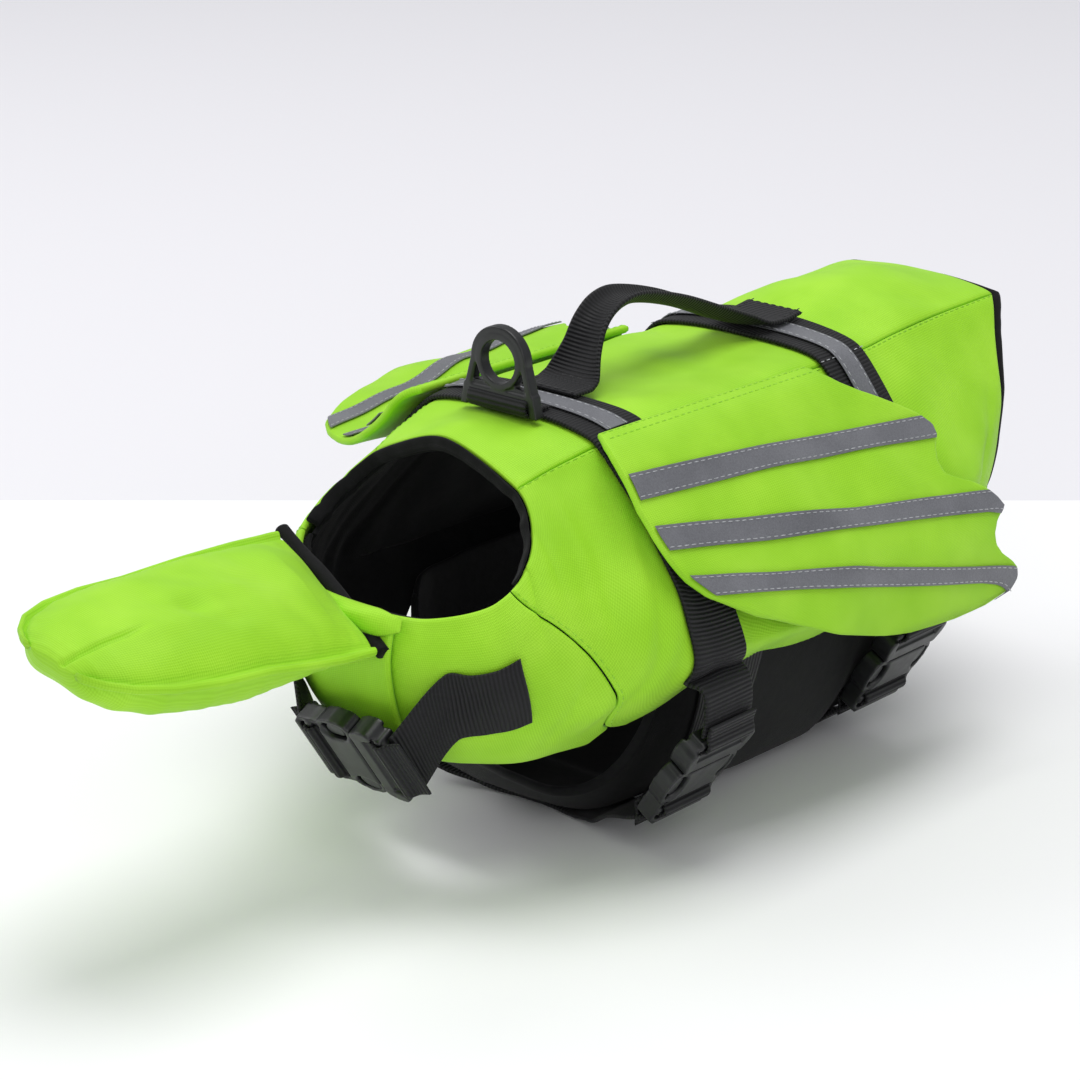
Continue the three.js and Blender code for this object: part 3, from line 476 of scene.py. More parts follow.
@dataclass
class Torso:
    """Outer surface of the jacket: s runs from neck to tail, g from crown (0) to keel (1), left above 0."""

    rings: Array = field(default_factory=lambda: np.array([
        [-102, 147.4, 31.5, 136, 46, 120, 45, 107, 25, 99.5, -141, 98, 1.6],
        [-90, 148, 33.5, 139.5, 56, 110, 51, 91, 28, 83, -146, 81, 1.6],
        [-78, 148, 35.5, 142, 66, 99, 55, 72, 29, 61, -140, 58, 1.6],
        [-66, 148, 37, 143.5, 75, 87, 52, 55, 28, 42, -124, 38, 1.5],
        [-50, 148, 38, 144, 80, 80, 49, 47, 26, 30, -100, 26, 1.4],
        [-32, 148, 38.5, 144, 81, 78, 66, 58, 30, 14, -66, 4, 1.2],
        [-8, 148, 38.5, 144, 82, 77, 68, 62, 30, 6, -36, 0, 1.1],
        [30, 148, 38, 144, 82, 77, 67, 60, 30, 6, 15, 0, 1],
        [70, 148.2, 37, 143.5, 78, 84, 68, 64, 30, 6, 55, 0, 1],
        [105, 157.5, 35.5, 145.3, 72, 93, 67, 70, 30, 8, 80, 4, 0.95],
        [135, 157, 35, 146.3, 64, 103, 64, 77, 30, 12, 92, 12, 0.85],
        [165.5, 150.5, 35, 146.3, 56, 113, 60, 82, 30, 20, 100, 20, 0.8]]))
    knots: tuple[float, ...] = (-0.2, 0, 0.2, 0.5, 0.75, 0.9, 1, 1.1)
    seam_softness: float = 0.45
    flank_tension: float = 0.45
    folds: dict[str, Array] = field(default_factory=lambda: table("u v length width turn depth", [
        [3.1, 0.42, 0.34, 0.07, 0.1, 1.8], [3.8, 0.52, 0.3, 0.06, 0, -1.2],
        [2.1, 0.5, 0.24, 0.06, 0.5, -1.2], [0.5, 0.8, 0.4, 0.06, 1.4, -1],
        [10.4, 0.34, 0.24, 0.07, 0.9, -1.8], [9.4, 0.52, 0.3, 0.08, 0.2, 1.5]]))
    creases: dict[str, Array] = field(default_factory=lambda: table("u v length width turn depth", [
        [0.7, 0.6, 0.26, 0.018, 1.2, -1.0], [1.0, 0.5, 0.34, 0.016, 0.9, -0.8], [1.7, 0.45, 0.3, 0.02, 0.6, 0.9],
        [3.3, 0.5, 0.3, 0.022, 0.2, -1.3], [3.7, 0.42, 0.26, 0.02, -0.1, 1.0], [2.6, 0.66, 0.2, 0.016, 0.5, -0.9],
        [3.0, 0.63, 0.2, 0.016, 0.7, 0.8], [1.4, 0.8, 0.22, 0.02, 0.3, -0.8], [0.5, 0.92, 0.2, 0.02, 1.3, 0.8],
        [8.8, 0.42, 0.3, 0.03, 0.4, 1.0], [10.2, 0.56, 0.3, 0.026, -0.3, -1.2], [6.2, 0.3, 0.2, 0.03, 0.2, -0.8],
        [9.7, 0.12, 0.2, 0.03, 1.0, -0.9], [4.6, 0.56, 0.24, 0.02, 0.4, -0.9]]))
    wrinkle: float = 0.9

    def plain(self, s: Array, g: Array) -> Array:
        """Surface without folds.

        Args:
            s: Place from neck (0) to tail (11).
            g: Place around.

        Returns:
            Points in mm.
        """
        s, g = np.broadcast_arrays(np.asarray(s, float), np.asarray(g, float))
        beyond = np.abs(g) > 1
        around = np.where(beyond, 2 - np.abs(g), np.abs(g))
        side = np.where(g < 0, -1.0, 1.0) * np.where(beyond, -1.0, 1.0)
        columns = np.arange(13)
        r = np.stack([curve(range(12), self.rings[:, c], s) for c in columns], -1)
        crown_y, crown_z, seam_x, seam_z, side_x, side_z, hem_x, hem_z, foot_x, foot_z, keel_y, keel_z, lean = (
            r[..., c] for c in columns)
        tension = {3: 1 + (self.flank_tension - 1) * smoothstep(s, 3, 5)}
        soft = {2: self.seam_softness}
        zero = np.zeros_like(s)
        x = curve(self.knots, np.stack([-seam_x, zero, seam_x, side_x, hem_x, foot_x, zero, -foot_x], -1), around,
                  soft, tension)
        z = curve(self.knots, np.stack([seam_z, crown_z, seam_z, side_z, hem_z, foot_z, keel_z, foot_z], -1),
                  around, soft, tension)
        h = np.clip((z - keel_z) / (seam_z - keel_z), 0, 1)
        y = keel_y + (crown_y - keel_y) * (1 - (1 - h) ** lean)
        return np.stack([side * x, y, z], -1)

    def facing(self, s: Array, g: Array, step: float = 0.01) -> Array:
        """Outward direction of the plain surface."""
        ds = self.plain(s + step, g) - self.plain(s - step, g)
        dg = self.plain(s, g + step) - self.plain(s, g - step)
        return unit(np.cross(dg, ds))

    def relief(self, s: Array, g: Array, base: Array) -> Array:
        """Height of folds and slack cloth above the plain surface."""
        around = np.where(np.abs(g) > 1, 2 - np.abs(g), np.abs(g))
        placed = sum(fold(s * 0.12, around, {**part, "u": part["u"] * 0.12})
                     for part in (self.folds, self.creases))
        held = np.ones_like(placed)
        for y in (FRONT_STRAP_Y, REAR_STRAP_Y):
            held *= 1 - 0.8 * (1 - smoothstep(np.abs(base[..., 1] - y), 12, 20)) * (around < 0.62)
        for edge in (0.2, 0.75):
            held *= 1 - 0.5 * np.exp(-((around - edge) / 0.03) ** 2)
        held *= smoothstep(s, -0.3, 0.8) * smoothstep(11.4 - s, 0, 0.9)
        slack = 0.65 * ripple(base, 11, 46) + 0.35 * ripple(base, 12, 19)
        return placed + self.wrinkle * held * slack

    def at(self, s: Array, g: Array, lift: Array | float = 0.0) -> Array:
        """Surface with its folds, moved out by lift."""
        s, g = np.broadcast_arrays(np.asarray(s, float), np.asarray(g, float))
        base = self.plain(s, g)
        return base + self.facing(s, g) * (lift + self.relief(s, g, base))[..., None]

    def ring_at(self, y: float, g: Array) -> Array:
        """Where lines around the jacket cross one y.

        Args:
            y: The y in mm.
            g: Places around.

        Returns:
            s for each g.
        """
        s = np.linspace(0, 11, 441)
        flat = np.asarray(g, float).ravel()
        ys = self.plain(s[:, None], flat[None, :])[..., 1]
        found = [np.interp(y, ys[:, k], s) for k in range(len(flat))]
        return np.array(found).reshape(np.shape(g))


@dataclass
class Cradle:
    """Belly panel's surface, tucked inside the side panels."""

    rows: dict[str, Array] = field(default_factory=lambda: table("y width top bottom flat", [
        [-112, 32, 52, 37, 0], [-95, 38, 54, 26, 2], [-78, 46, 60, 14, 5], [-68, 52, 64, 8.4, 8],
        [-60, 57, 68, 4.4, 12], [-55, 59.3, 70, 2.7, 14], [-45, 62.8, 71, 2.5, 14], [-31, 63.6, 71, 2.5, 14.5],
        [-27, 63.6, 72, 0, 16], [10, 63, 72, 0, 25], [48, 63.3, 73, 0, 26], [52, 63.4, 74, 2.5, 21],
        [80, 62.8, 76, 2.5, 19], [92, 60, 78, 6, 16]]))
    cut: dict[str, Array] = field(default_factory=lambda: table("y reach", [
        [-112, 0.62], [-95, 0.52], [-82, 0.5], [-74, 0.5], [-68, 0.56], [-63, 0.74], [-59, 0.93], [-55, 1],
        [92, 1]]))
    flat_share: float = 0.3

    def row(self, column: str, y: Array) -> Array:
        """One column at y, with its corners eased."""
        return sum(np.interp(y + d, self.rows["y"], self.rows[column]) for d in (-2.0, 0.0, 2.0)) / 3

    def reach(self, y: Array) -> Array:
        """Share of the half girth that the panel covers at y."""
        return sum(np.interp(y + d, self.cut["y"], self.cut["reach"]) for d in (-2.0, 0.0, 2.0)) / 3

    def at(self, y: Array, t: Array, lift: Array | float = 0.0) -> Array:
        """Point at y and t, from -1 (right edge) to 1 (left edge), moved out by lift."""
        y, t = np.broadcast_arrays(np.asarray(y, float), np.asarray(t, float))
        size, side = np.abs(t), np.sign(t)
        flat, bottom = self.row("flat", y), self.row("bottom", y)
        angle = np.clip((size - self.flat_share) / (1 - self.flat_share), 0, 1) * math.pi / 2
        width = self.row("width", y) - flat + lift
        depth = self.row("top", y) - bottom + lift
        x = np.where(size < self.flat_share, flat * size / self.flat_share, flat + width * np.sin(angle))
        z = np.where(size < self.flat_share, bottom - lift, self.row("top", y) - depth * np.cos(angle))
        return np.stack([side * x, y, z], -1)


def grid_normals(points: Array) -> Array:
    """Directions square to a grid of points, rows by columns."""
    return unit(np.cross(np.gradient(points, axis=1), np.gradient(points, axis=0)))


def lengths(points: Array, axis: int) -> Array:
    """Running length over a grid of points along one axis, in mm, the same for each line."""
    step = np.linalg.norm(np.diff(points, axis=axis), axis=-1)
    mean = step.mean(axis=1 - axis)
    return np.concatenate([[0.0], np.cumsum(mean)])


def mesh_object(name: str, points: Array, faces: Sequence[Sequence[int]] | Array, uv: Array | None = None
                ) -> bpy.types.Object:
    """Puts a mesh in the scene.

    Args:
        name: Name of the piece.
        points: Corners in mm.
        faces: Corner numbers of each face.
        uv: Millimetres across and along the cloth at each corner.

    Returns:
        The object, shaded smooth.
    """
    mesh = bpy.data.meshes.new(name)
    mesh.from_pydata((np.asarray(points) * MM).tolist(), [], np.asarray(faces).tolist()
                     if isinstance(faces, np.ndarray) else faces)
    if uv is not None:
        layer = mesh.uv_layers.new(name="cloth")
        index = np.zeros(len(mesh.loops), int)
        mesh.loops.foreach_get("vertex_index", index)
        layer.data.foreach_set("uv", (uv[index] / 100).ravel())
    mesh.polygons.foreach_set("use_smooth", [True] * len(mesh.polygons))
    mesh.update()
    thing = bpy.data.objects.new(name, mesh)
    bpy.context.scene.collection.objects.link(thing)
    return thing


def quads(index: Array) -> Array:
    """Four-cornered faces of a grid of corner numbers."""
    return np.stack([index[:-1, :-1], index[1:, :-1], index[1:, 1:], index[:-1, 1:]], -1).reshape(-1, 4)


def sheet_object(name: str, middle: Array, out: Array, thickness: Array | float, rim: float = 1.2,
                 uv_origin: tuple[float, float] = (0.0, 0.0)) -> bpy.types.Object:
    """Closed sheet with rounded edges, of two layers round a middle surface.

    Args:
        name: Name of the piece.
        middle: Grid of points, rows by columns, in mm.
        out: Outward direction at each point.
        thickness: Thickness in mm, or one for each point.
        rim: How far from an edge the rounding begins, in mm.
        uv_origin: Added to the cloth's lengths, so that neighbours differ.

    Returns:
        The object.
    """
    rows, columns = middle.shape[:2]
    along, across = lengths(middle, 0), lengths(middle, 1)
    step_a = np.concatenate([[0], np.cumsum(np.linalg.norm(np.diff(middle, axis=0), axis=-1).mean(1))])
    from_edge = np.minimum(np.minimum(step_a, step_a[-1] - step_a)[:, None],
                           np.minimum(across, across[-1] - across)[None, :])
    share = np.clip(from_edge / rim, 0, 1)
    half = np.asarray(thickness)[..., None] / 2 * np.sqrt(1 - (1 - share) ** 2)[..., None] \
        if np.ndim(thickness) else thickness / 2 * np.sqrt(1 - (1 - share) ** 2)[..., None]
    outer, inner = middle + out * half, middle - out * half
    top = np.arange(rows * columns).reshape(rows, columns)
    under = top.copy()
    core = (slice(1, -1), slice(1, -1))
    under[core] = rows * columns + np.arange((rows - 2) * (columns - 2)).reshape(rows - 2, columns - 2)
    points = np.concatenate([outer.reshape(-1, 3), inner[core].reshape(-1, 3)])
    faces = np.concatenate([quads(top), quads(under)[:, ::-1]])
    one, two, three = (points[faces[:, k]] for k in range(3))
    if float(np.einsum("ij,ij->i", one, np.cross(two, three)).sum()) < 0:
        faces = faces[:, ::-1]
    u = np.broadcast_to(across[None, :], (rows, columns)) + uv_origin[0]
    v = np.broadcast_to(along[:, None], (rows, columns)) + uv_origin[1]
    uv = np.stack([u, v], -1)
    return mesh_object(name, points, faces, np.concatenate([uv.reshape(-1, 2), uv[core].reshape(-1, 2)]))


@dataclass(frozen=True)
class Cut:
    """How a piece of cloth was cut and how it is held."""

    held: str = "stretched"
    rests_on: tuple[str, ...] = ()
    fill: float | None = None


class Workshop:
    """Dresses each finished mesh and ties it to the frame."""

    def __init__(self, wardrobe: Wardrobe) -> None:
        """Keeps the finishes."""
        self.wardrobe = wardrobe

    def fit(self, thing: bpy.types.Object, finish: Finish, nodes: Sequence[str] = (), cut: Cut | None = None,
            body: str = BODY) -> bpy.types.Object:
        """Finishes a piece.

        Args:
            thing: The piece.
            finish: Its finish.
            nodes: CAD nodes that it stands for.
            cut: How it is held, where it is cloth; it changes nothing.
            body: The body that it moves with.

        Returns:
            The piece.
        """
        self.wardrobe.dress(thing, finish)
        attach(thing, body)
        if nodes:
            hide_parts(*nodes)
        if cut is not None and cut.fill is not None:
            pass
        elif cut is not None:
            width, length = self.flat(thing)
        LOG.info("%s: %d faces, %s", thing.name, len(thing.data.polygons), finish.value)
        return thing

    @staticmethod
    def flat(thing: bpy.types.Object) -> tuple[float, float]:
        """Width and length of the flat cloth in metres, from its unwrapped lengths."""
        layer = thing.data.uv_layers["cloth"].data
        uv = np.zeros(len(layer) * 2)
        layer.foreach_get("uv", uv)
        size = uv.reshape(-1, 2).max(0) - uv.reshape(-1, 2).min(0)
        return tuple(max(float(length) / 10, 0.0101) for length in size)

    @staticmethod
    def area(thing: bpy.types.Object) -> float:
        """Area of one layer in square metres."""
        return sum(face.area for face in thing.data.polygons) / 2


@dataclass
class BodyPanels:
    """Green panels of the body and chest with the linings inside them."""

    torso: Torso
    seam: float = 0.2
    hem: float = 0.75
    seam_gap: float = 0.0016
    dart: dict[str, Array] = field(default_factory=lambda: table("ring around", [
        [0, 0.69], [1, 0.6], [2, 0.58], [3, 0.6], [3.7, 0.66], [4.35, 0.75]]))
    side_edge: dict[str, Array] = field(default_factory=lambda: table("ring around", [
        [4.35, 0.75], [4.6, 0.63], [5, 0.63], [5.5, 0.66], [6, 0.71], [6.5, 0.75]]))

    def dart_at(self, s: Array) -> Array:
        """Place around of the dart seam at s."""
        return curve(self.dart["ring"], self.dart["around"], np.asarray(s, float))

    def hem_at(self, s: Array) -> Array:
        """Place around of the lining's lower edge at s."""
        return np.where(s <= 4.35, np.minimum(self.dart_at(s), self.hem), self.hem)

    def edge(self, s: Array) -> Array:
        """Place around of the side panel's lower edge at s."""
        return np.where(s <= 4.35, self.hem_at(s), np.interp(s, self.side_edge["ring"], self.side_edge["around"]))

    def sheet(self, name: str, rows: Array, columns: Array, place: Callable[[Array, Array], tuple[Array, ...]],
              top: float = 0.0, thickness: float = SHELL) -> bpy.types.Object:
        """Sheet on the torso's surface.

        Args:
            name: Name of the piece.
            rows: Steps from 0 to 1 along it.
            columns: Steps from 0 to 1 across it.
            place: Gives s, g and lift for a row and a column.
            top: Lift of the outer face in mm.
            thickness: Thickness in mm.

        Returns:
            The object.
        """
        a, b = np.meshgrid(rows, columns, indexing="ij")
        s, g, lift = place(a, b)
        middle = self.torso.at(s, g, top - thickness / 2 + lift)
        out = grid_normals(middle)
        out *= np.sign((out * self.torso.facing(s, g)).sum(-1, keepdims=True))
        return sheet_object(name, middle, out, thickness, min(1.2, thickness / 2))

    def hem_ring(self, around: Array) -> Array:
        """Ring of the chest's lower edge."""
        return 2.42 + (4.16 - 2.42) * np.clip((1 - around) / 0.25, 0, 1) ** 1.45

    def back(self) -> bpy.types.Object:
        """Back panel, from side seam to side seam."""
        return self.sheet("back_panel_cloth", spaced(120, 265), spaced(36, 78),
                          lambda a, b: (a * 11, -self.seam + 2 * self.seam * b, 0 * a))

    def side(self, sign: int) -> bpy.types.Object:
        """One side panel, from the side seam down to the hem."""
        def place(a: Array, b: Array) -> tuple[Array, ...]:
            """From the seam to the edge."""
            s = a * 11
            start = self.seam + self.seam_gap
            return s, sign * (start + (self.edge(s) - self.seam_gap - start) * b), 0 * a
        rows = np.unique(np.concatenate([spaced(130, 300), np.linspace(4.3, 4.7, 9) / 11]))
        return self.sheet(f"{'left' if sign > 0 else 'right'}_side_panel_cloth", rows, spaced(60, 115), place)

    def body_lining(self) -> bpy.types.Object:
        """Black lining inside the back and sides."""
        def place(a: Array, b: Array) -> tuple[Array, ...]:
            """From hem to hem, laid to the panels at the hem."""
            s = a * 11
            column = b * 22 - 8
            inside = np.clip(column, 0, 6)
            past = (column - inside) / 8
            sewn = np.where(s > 4.35, (BODY_LINING_GAP - LAID) * smoothstep(np.abs(past), 0.8, 1), 0)
            back = self.seam * (2 * inside / 6 - 1)
            return s, back + past * (self.hem_at(s) - self.seam - self.seam_gap), sewn
        rows = np.unique(np.concatenate([spaced(100, 300), np.linspace(4.3, 4.7, 9) / 11]))
        return self.sheet("body_lining_cloth", rows, spaced(110, 300), place, -(SHELL + BODY_LINING_GAP), LINING)

    def chest(self, sign: int) -> bpy.types.Object:
        """One chest panel, from the dart to the front closure."""
        def left(a: Array, b: Array) -> tuple[Array, ...]:
            """Left half, under the right one."""
            s = a * self.hem_ring(1 + (self.hem - 1) * np.minimum(1, (1 - b) * 1.2))
            start = self.dart_at(s) + self.seam_gap
            return s, start + (1.03 - start) * b, 0 * a

        def right(a: Array, b: Array) -> tuple[Array, ...]:
            """Right half, lapped over the left one."""
            tip = 1 + 0.16 * smoothstep(b, 0.55, 0.8)
            s = a * self.hem_ring(1 + (self.hem - 1) * np.minimum(1, (1 - b) * 1.6)) * tip
            start = -(self.dart_at(s) + self.seam_gap)
            g = start + (-1.055 - start) * b
            return s, g, (SHELL + 2 * GAP) * smoothstep(np.abs(g), 0.84, 0.95)

        name = f"{'left' if sign > 0 else 'right'}_chest_panel_cloth"
        return self.sheet(name, spaced(60, 110), spaced(56, 90), left if sign > 0 else right)

    def chest_lining(self) -> bpy.types.Object:
        """Black lining inside both chest halves."""
        def place(a: Array, b: Array) -> tuple[Array, ...]:
            """From dart to dart under the keel."""
            spread = np.minimum(1, 1.2 * np.abs(2 * b - 1))
            s = a * (self.hem_ring(1 + (self.hem - 1) * spread) - 0.1)
            start = self.dart_at(s) + 2 * self.seam_gap
            return s, start + (2 - 2 * start) * b, 0 * a
        return self.sheet("chest_lining_cloth", spaced(50, 90), spaced(80, 160), place, -(SHELL + LINING_GAP),
                          LINING)

    def build(self, shop: Workshop) -> None:
        """Builds and dresses the panels and linings."""
        shop.fit(self.back(), Finish.NEON, ["back_panel"], Cut())
        for sign, side in ((1, "left"), (-1, "right")):
            shop.fit(self.side(sign), Finish.NEON, [f"{side}_side_panel"], Cut())
            shop.fit(self.chest(sign), Finish.NEON, [f"{side}_chest_panel"], Cut())
        shop.fit(self.body_lining(), Finish.BLACK, ["body_lining"], Cut())
        shop.fit(self.chest_lining(), Finish.BLACK, ["chest_lining"], Cut())


@dataclass
class BellyPanel:
    """Black belly panel under the body, open for the front legs, with its ribbed gussets and bindings."""

    cradle: Cradle
    gusset_start: float = -44.0
    gusset_end: float = -10.0
    gusset_slant: float = 16.0
    gusset_low: float = 0.52
    gusset_high: float = 0.97

    def build(self, shop: Workshop) -> None:
        """Builds and dresses the panel."""
        y = -112 + 204 * spaced(110, 204)
        b = spaced(90, 190)
        ys, bs = np.meshgrid(y, b, indexing="ij")
        t = (bs * 2 - 1) * self.cradle.reach(ys)
        middle = self.cradle.at(ys, t, -SHELL / 2)
        out = unit(self.cradle.at(ys, t, 0) - self.cradle.at(ys, t, -1.0))
        shop.fit(sheet_object("belly_panel_cloth", middle, out, SHELL), Finish.BLACK, ["belly_panel"], Cut())
        for sign, side in ((1, "left"), (-1, "right")):
            shop.fit(self.gusset(sign, f"{side}_belly_gusset"), Finish.WEBBING, cut=Cut())
            shop.fit(self.leg_binding(sign, f"{side}_leg_binding"), Finish.BLACK, cut=Cut())

    def gusset(self, sign: int, name: str) -> bpy.types.Object:
        """Ribbed elastic cloth laid on the panel behind the front strap, cut off on a slant."""
        a, b = np.meshgrid(spaced(46, 34), spaced(40, 90), indexing="ij")
        t = sign * (self.gusset_low + (self.gusset_high - self.gusset_low) * b)
        end = self.gusset_end - self.gusset_slant * (1 - b)
        y = self.gusset_start + (end - self.gusset_start) * a
        middle = self.cradle.at(y, t, 0.9)
        out = unit(self.cradle.at(y, t, 1.0) - self.cradle.at(y, t, 0.0))
        return sheet_object(name, middle, out, 0.9, 0.5)

    def leg_binding(self, sign: int, name: str) -> bpy.types.Object:
        """Binding rolled over the edge of a leg opening."""
        y = np.linspace(-111.5, -57, 120)
        edge = self.cradle.at(y, sign * self.cradle.reach(y), -SHELL / 2)
        inward = unit(self.cradle.at(y, sign * (self.cradle.reach(y) - 0.04), -SHELL / 2) - edge)
        out = unit(self.cradle.at(y, sign * self.cradle.reach(y), 0) - self.cradle.at(y, sign * self.cradle.reach(y),
                                                                                      -1.0))
        turn = np.linspace(0, 2 * math.pi, 16, endpoint=False)
        across = np.cos(turn)[None, :, None] * 2.6 * inward[:, None] + inward[:, None] * 1.2
        return ring_loops(name, edge[:, None] + across + np.sin(turn)[None, :, None] * 1.9 * out[:, None])


def smooth_rows(points: Array, steps: int) -> Array:
    """Adds rows to a coarse grid along a smooth curve through each column.

    Args:
        points: Rows by columns by 3, in mm.
        steps: New rows for each old one.

    Returns:
        The finer grid.
    """
    knots = lengths(points, 0)
    t = np.interp(np.arange((len(knots) - 1) * steps + 1) / steps, np.arange(len(knots)), knots)
    values = np.moveaxis(points, 0, -1)[None]
    return curve(knots, values, np.broadcast_to(t[:, None, None], (len(t),) + points.shape[1:]))


@dataclass
class Strap:
    """Webbing or tape as a strip of one width and thickness."""

    name: str
    width: float = STRAP_WIDTH
    thickness: float = WEBBING

    def shares(self) -> Array:
        """Places across the strip, from -0.5 to 0.5."""
        return spaced(max(6, round(self.width / 2)), self.width, (0.2, 0.5, 0.8)) - 0.5

    def build(self, lines: Array, outward: Array, steps: int = 5) -> bpy.types.Object:
        """Builds the strip.

        Args:
            lines: Stations by places across by 3: the strip's inner face.
            outward: Direction away from the body at each station and place.
            steps: Rows for each station.

        Returns:
            The object.
        """
        base = smooth_rows(lines, steps)
        rim = self.thickness / 2
        total = lengths(base, 0)[-1]
        ends = np.array([0.2, 0.5]) / total
        rows = len(base)
        place = np.unique(np.concatenate([np.linspace(0, 1, rows), ends, 1 - ends])) * (rows - 1)
        low = np.clip(place.astype(int), 0, rows - 2)
        share = (place - low)[:, None, None]
        base = base[low] * (1 - share) + base[low + 1] * share
        out = grid_normals(base)
        guide = smooth_rows(outward, steps)
        guide = guide[low] * (1 - share) + guide[low + 1] * share
        out *= np.sign((out * guide).sum(-1).mean())
        return sheet_object(self.name, base + out * self.thickness / 2, out, self.thickness, rim)


@dataclass
class Harness:
    """Girth straps, belly straps, chest straps and the tapes laid on them."""

    torso: Torso
    cradle: Cradle
    front_drop: dict[str, Array] = field(default_factory=lambda: table("x z", [[83.2, 68], [84.4, 60],
                                                                               [83.2, 52.5]]))
    rear_drop: dict[str, Array] = field(default_factory=lambda: table("x z", [[79.6, 66], [78, 60],
                                                                              [75.9, 54.5]]))
    front_rise: dict[str, Array] = field(default_factory=lambda: table("x z", [
        [59.6, 17.6], [52, 15.4], [40, 11.4], [30, 5]]))
    rear_rise: dict[str, Array] = field(default_factory=lambda: table("x z", [[53.9, 18.6], [47, 14.4],
                                                                              [38, 7.6]]))
    far_rise: dict[str, Array] = field(default_factory=lambda: table("x z", [
        [-38, 7.2], [-50, 15], [-61, 28], [-71, 44], [-78.3, 59.6]]))
    far_drop: dict[str, Array] = field(default_factory=lambda: table("x z", [[-81.6, 68], [-78.5, 60.1]]))
    chest_patch: dict[str, Array] = field(default_factory=lambda: table("us ug ls lg", [
        [1.2, 0.71, 2.24, 0.75], [1.16, 0.77, 2.2, 0.79], [1.12, 0.82, 2.16, 0.83],
        [1.05, 0.87, 2.12, 0.88]]))

    def girth(self, strap: Strap, y: float, reach: float, lift: float, head: dict[str, Array] | None = None,
              tail: dict[str, Array] | None = None) -> bpy.types.Object:
        """Strip laid over the jacket at one y.

        Args:
            strap: Its width, thickness and name.
            y: Its middle line.
            reach: How far round both sides it lies on the cloth.
            lift: Its height over the cloth.
            head: Free stretch before it, on the left.
            tail: Free stretch after it, on the right.

        Returns:
            The object.
        """
        g = np.linspace(reach, -reach, round(2 * reach / 0.04) + 1)
        columns = []
        for share in strap.shares():
            line_y = y + share * strap.width
            laid = self.torso.at(self.torso.ring_at(line_y, g), g, lift)
            free = [np.stack([part["x"], np.full(len(part["x"]), line_y), part["z"]], -1) if part else
                    np.zeros((0, 3)) for part in (head, tail)]
            columns.append(np.concatenate([free[0][::-1], laid, free[1]]))
        lines = np.stack(columns, 1)
        step = np.gradient(lines, axis=0)
        outward = unit(np.stack([step[..., 2], 0 * step[..., 1], -step[..., 0]], -1))
        return strap.build(lines, outward)

    def belly(self, strap: Strap, y: float, slant: float, head: dict[str, Array], tail: dict[str, Array]
              ) -> bpy.types.Object:
        """Strip under the belly panel with free ends.

        Args:
            strap: Its width, thickness and name.
            y: Its middle line at the sides.
            slant: How far its middle lies towards the tail.
            head: Free stretch on the left.
            tail: Free stretch on the right.

        Returns:
            The object.
        """
        def middle_y(x: Array) -> Array:
            """The strip's line at x."""
            return y + slant * np.maximum(0, 1 - (x / 46) ** 2)
        t = np.linspace(0.4, -0.4, 17)
        start = self.cradle.at(np.full(17, float(y)), t, LAID)[:, 0]
        laid = self.cradle.at(middle_y(start), t, LAID)
        x = np.concatenate([head["x"], laid[:, 0], tail["x"]])
        z = np.concatenate([head["z"], laid[:, 2], tail["z"]])
        columns = [np.stack([x, middle_y(x) + share * strap.width, z], -1) for share in strap.shares()]
        lines = np.stack(columns, 1)
        step = np.gradient(lines, axis=0)
        outward = unit(np.stack([-step[..., 2], 0 * step[..., 1], step[..., 0]], -1))
        return strap.build(lines, outward)

    def chest(self, sign: int, buckle: "Buckle") -> bpy.types.Object:
        """Webbing sewn to one half of the chest and running free to the chest buckle.

        Args:
            sign: 1 for the left half, -1 for the right one.
            buckle: The chest buckle.

        Returns:
            The object.
        """
        name = f"{'left' if sign > 0 else 'right'}_chest_strap_webbing"
        shares = Strap(name).shares()
        patch = self.chest_patch
        place = buckle.axes()
        end = place[:3, 3] + place[:3, 0] * (-sign * (buckle.length / 2 + 2 * GAP))
        down = sign * 1.0
        columns = []
        for share in shares:
            t = share + 0.5
            s = patch["us"] * (1 - t) + patch["ls"] * t
            g = sign * (patch["ug"] * (1 - t) + patch["lg"] * t)
            laid = self.torso.at(s, g, LAID if sign > 0 else 3 * LAID)
            columns.append(np.concatenate([laid, [end + place[:3, 1] * share * STRAP_WIDTH]]))
        lines = np.stack(columns, 1)
        out = grid_normals(lines)
        out *= np.sign((out[:, :, 1] * -down * sign).mean())
        return Strap(name).build(lines, out, 12)

    def build(self, shop: Workshop) -> None:
        """Builds and dresses the girth and belly straps and the tapes on the girth straps."""
        tape_lift = 2 * LAID + WEBBING
        for name, y, drop, tape_reach in (("front", FRONT_STRAP_Y, self.front_drop, 0.18),
                                          ("rear", REAR_STRAP_Y, self.rear_drop, 0.3)):
            webbing = self.girth(Strap(f"{name}_girth_webbing_strip"), y, 0.58, LAID,
                                 {k: v for k, v in drop.items()}, self.far_drop)
            shop.fit(webbing, Finish.WEBBING, [f"{name}_girth_webbing"], Cut())
            tape = self.girth(Strap(f"{name}_girth_tape_strip", TAPE_WIDTH, TAPE), y, tape_reach, tape_lift)
            shop.fit(tape, Finish.TAPE, [f"{name}_girth_tape"], Cut())
        for name, y, slant, rise in (("front", FRONT_STRAP_Y, 13.5, self.front_rise),
                                     ("rear", REAR_STRAP_Y, 0.0, self.rear_rise)):
            webbing = self.belly(Strap(f"{name}_belly_webbing_strip"), y, slant, rise, self.far_rise)
            shop.fit(webbing, Finish.WEBBING, [f"{name}_belly_webbing"], Cut())


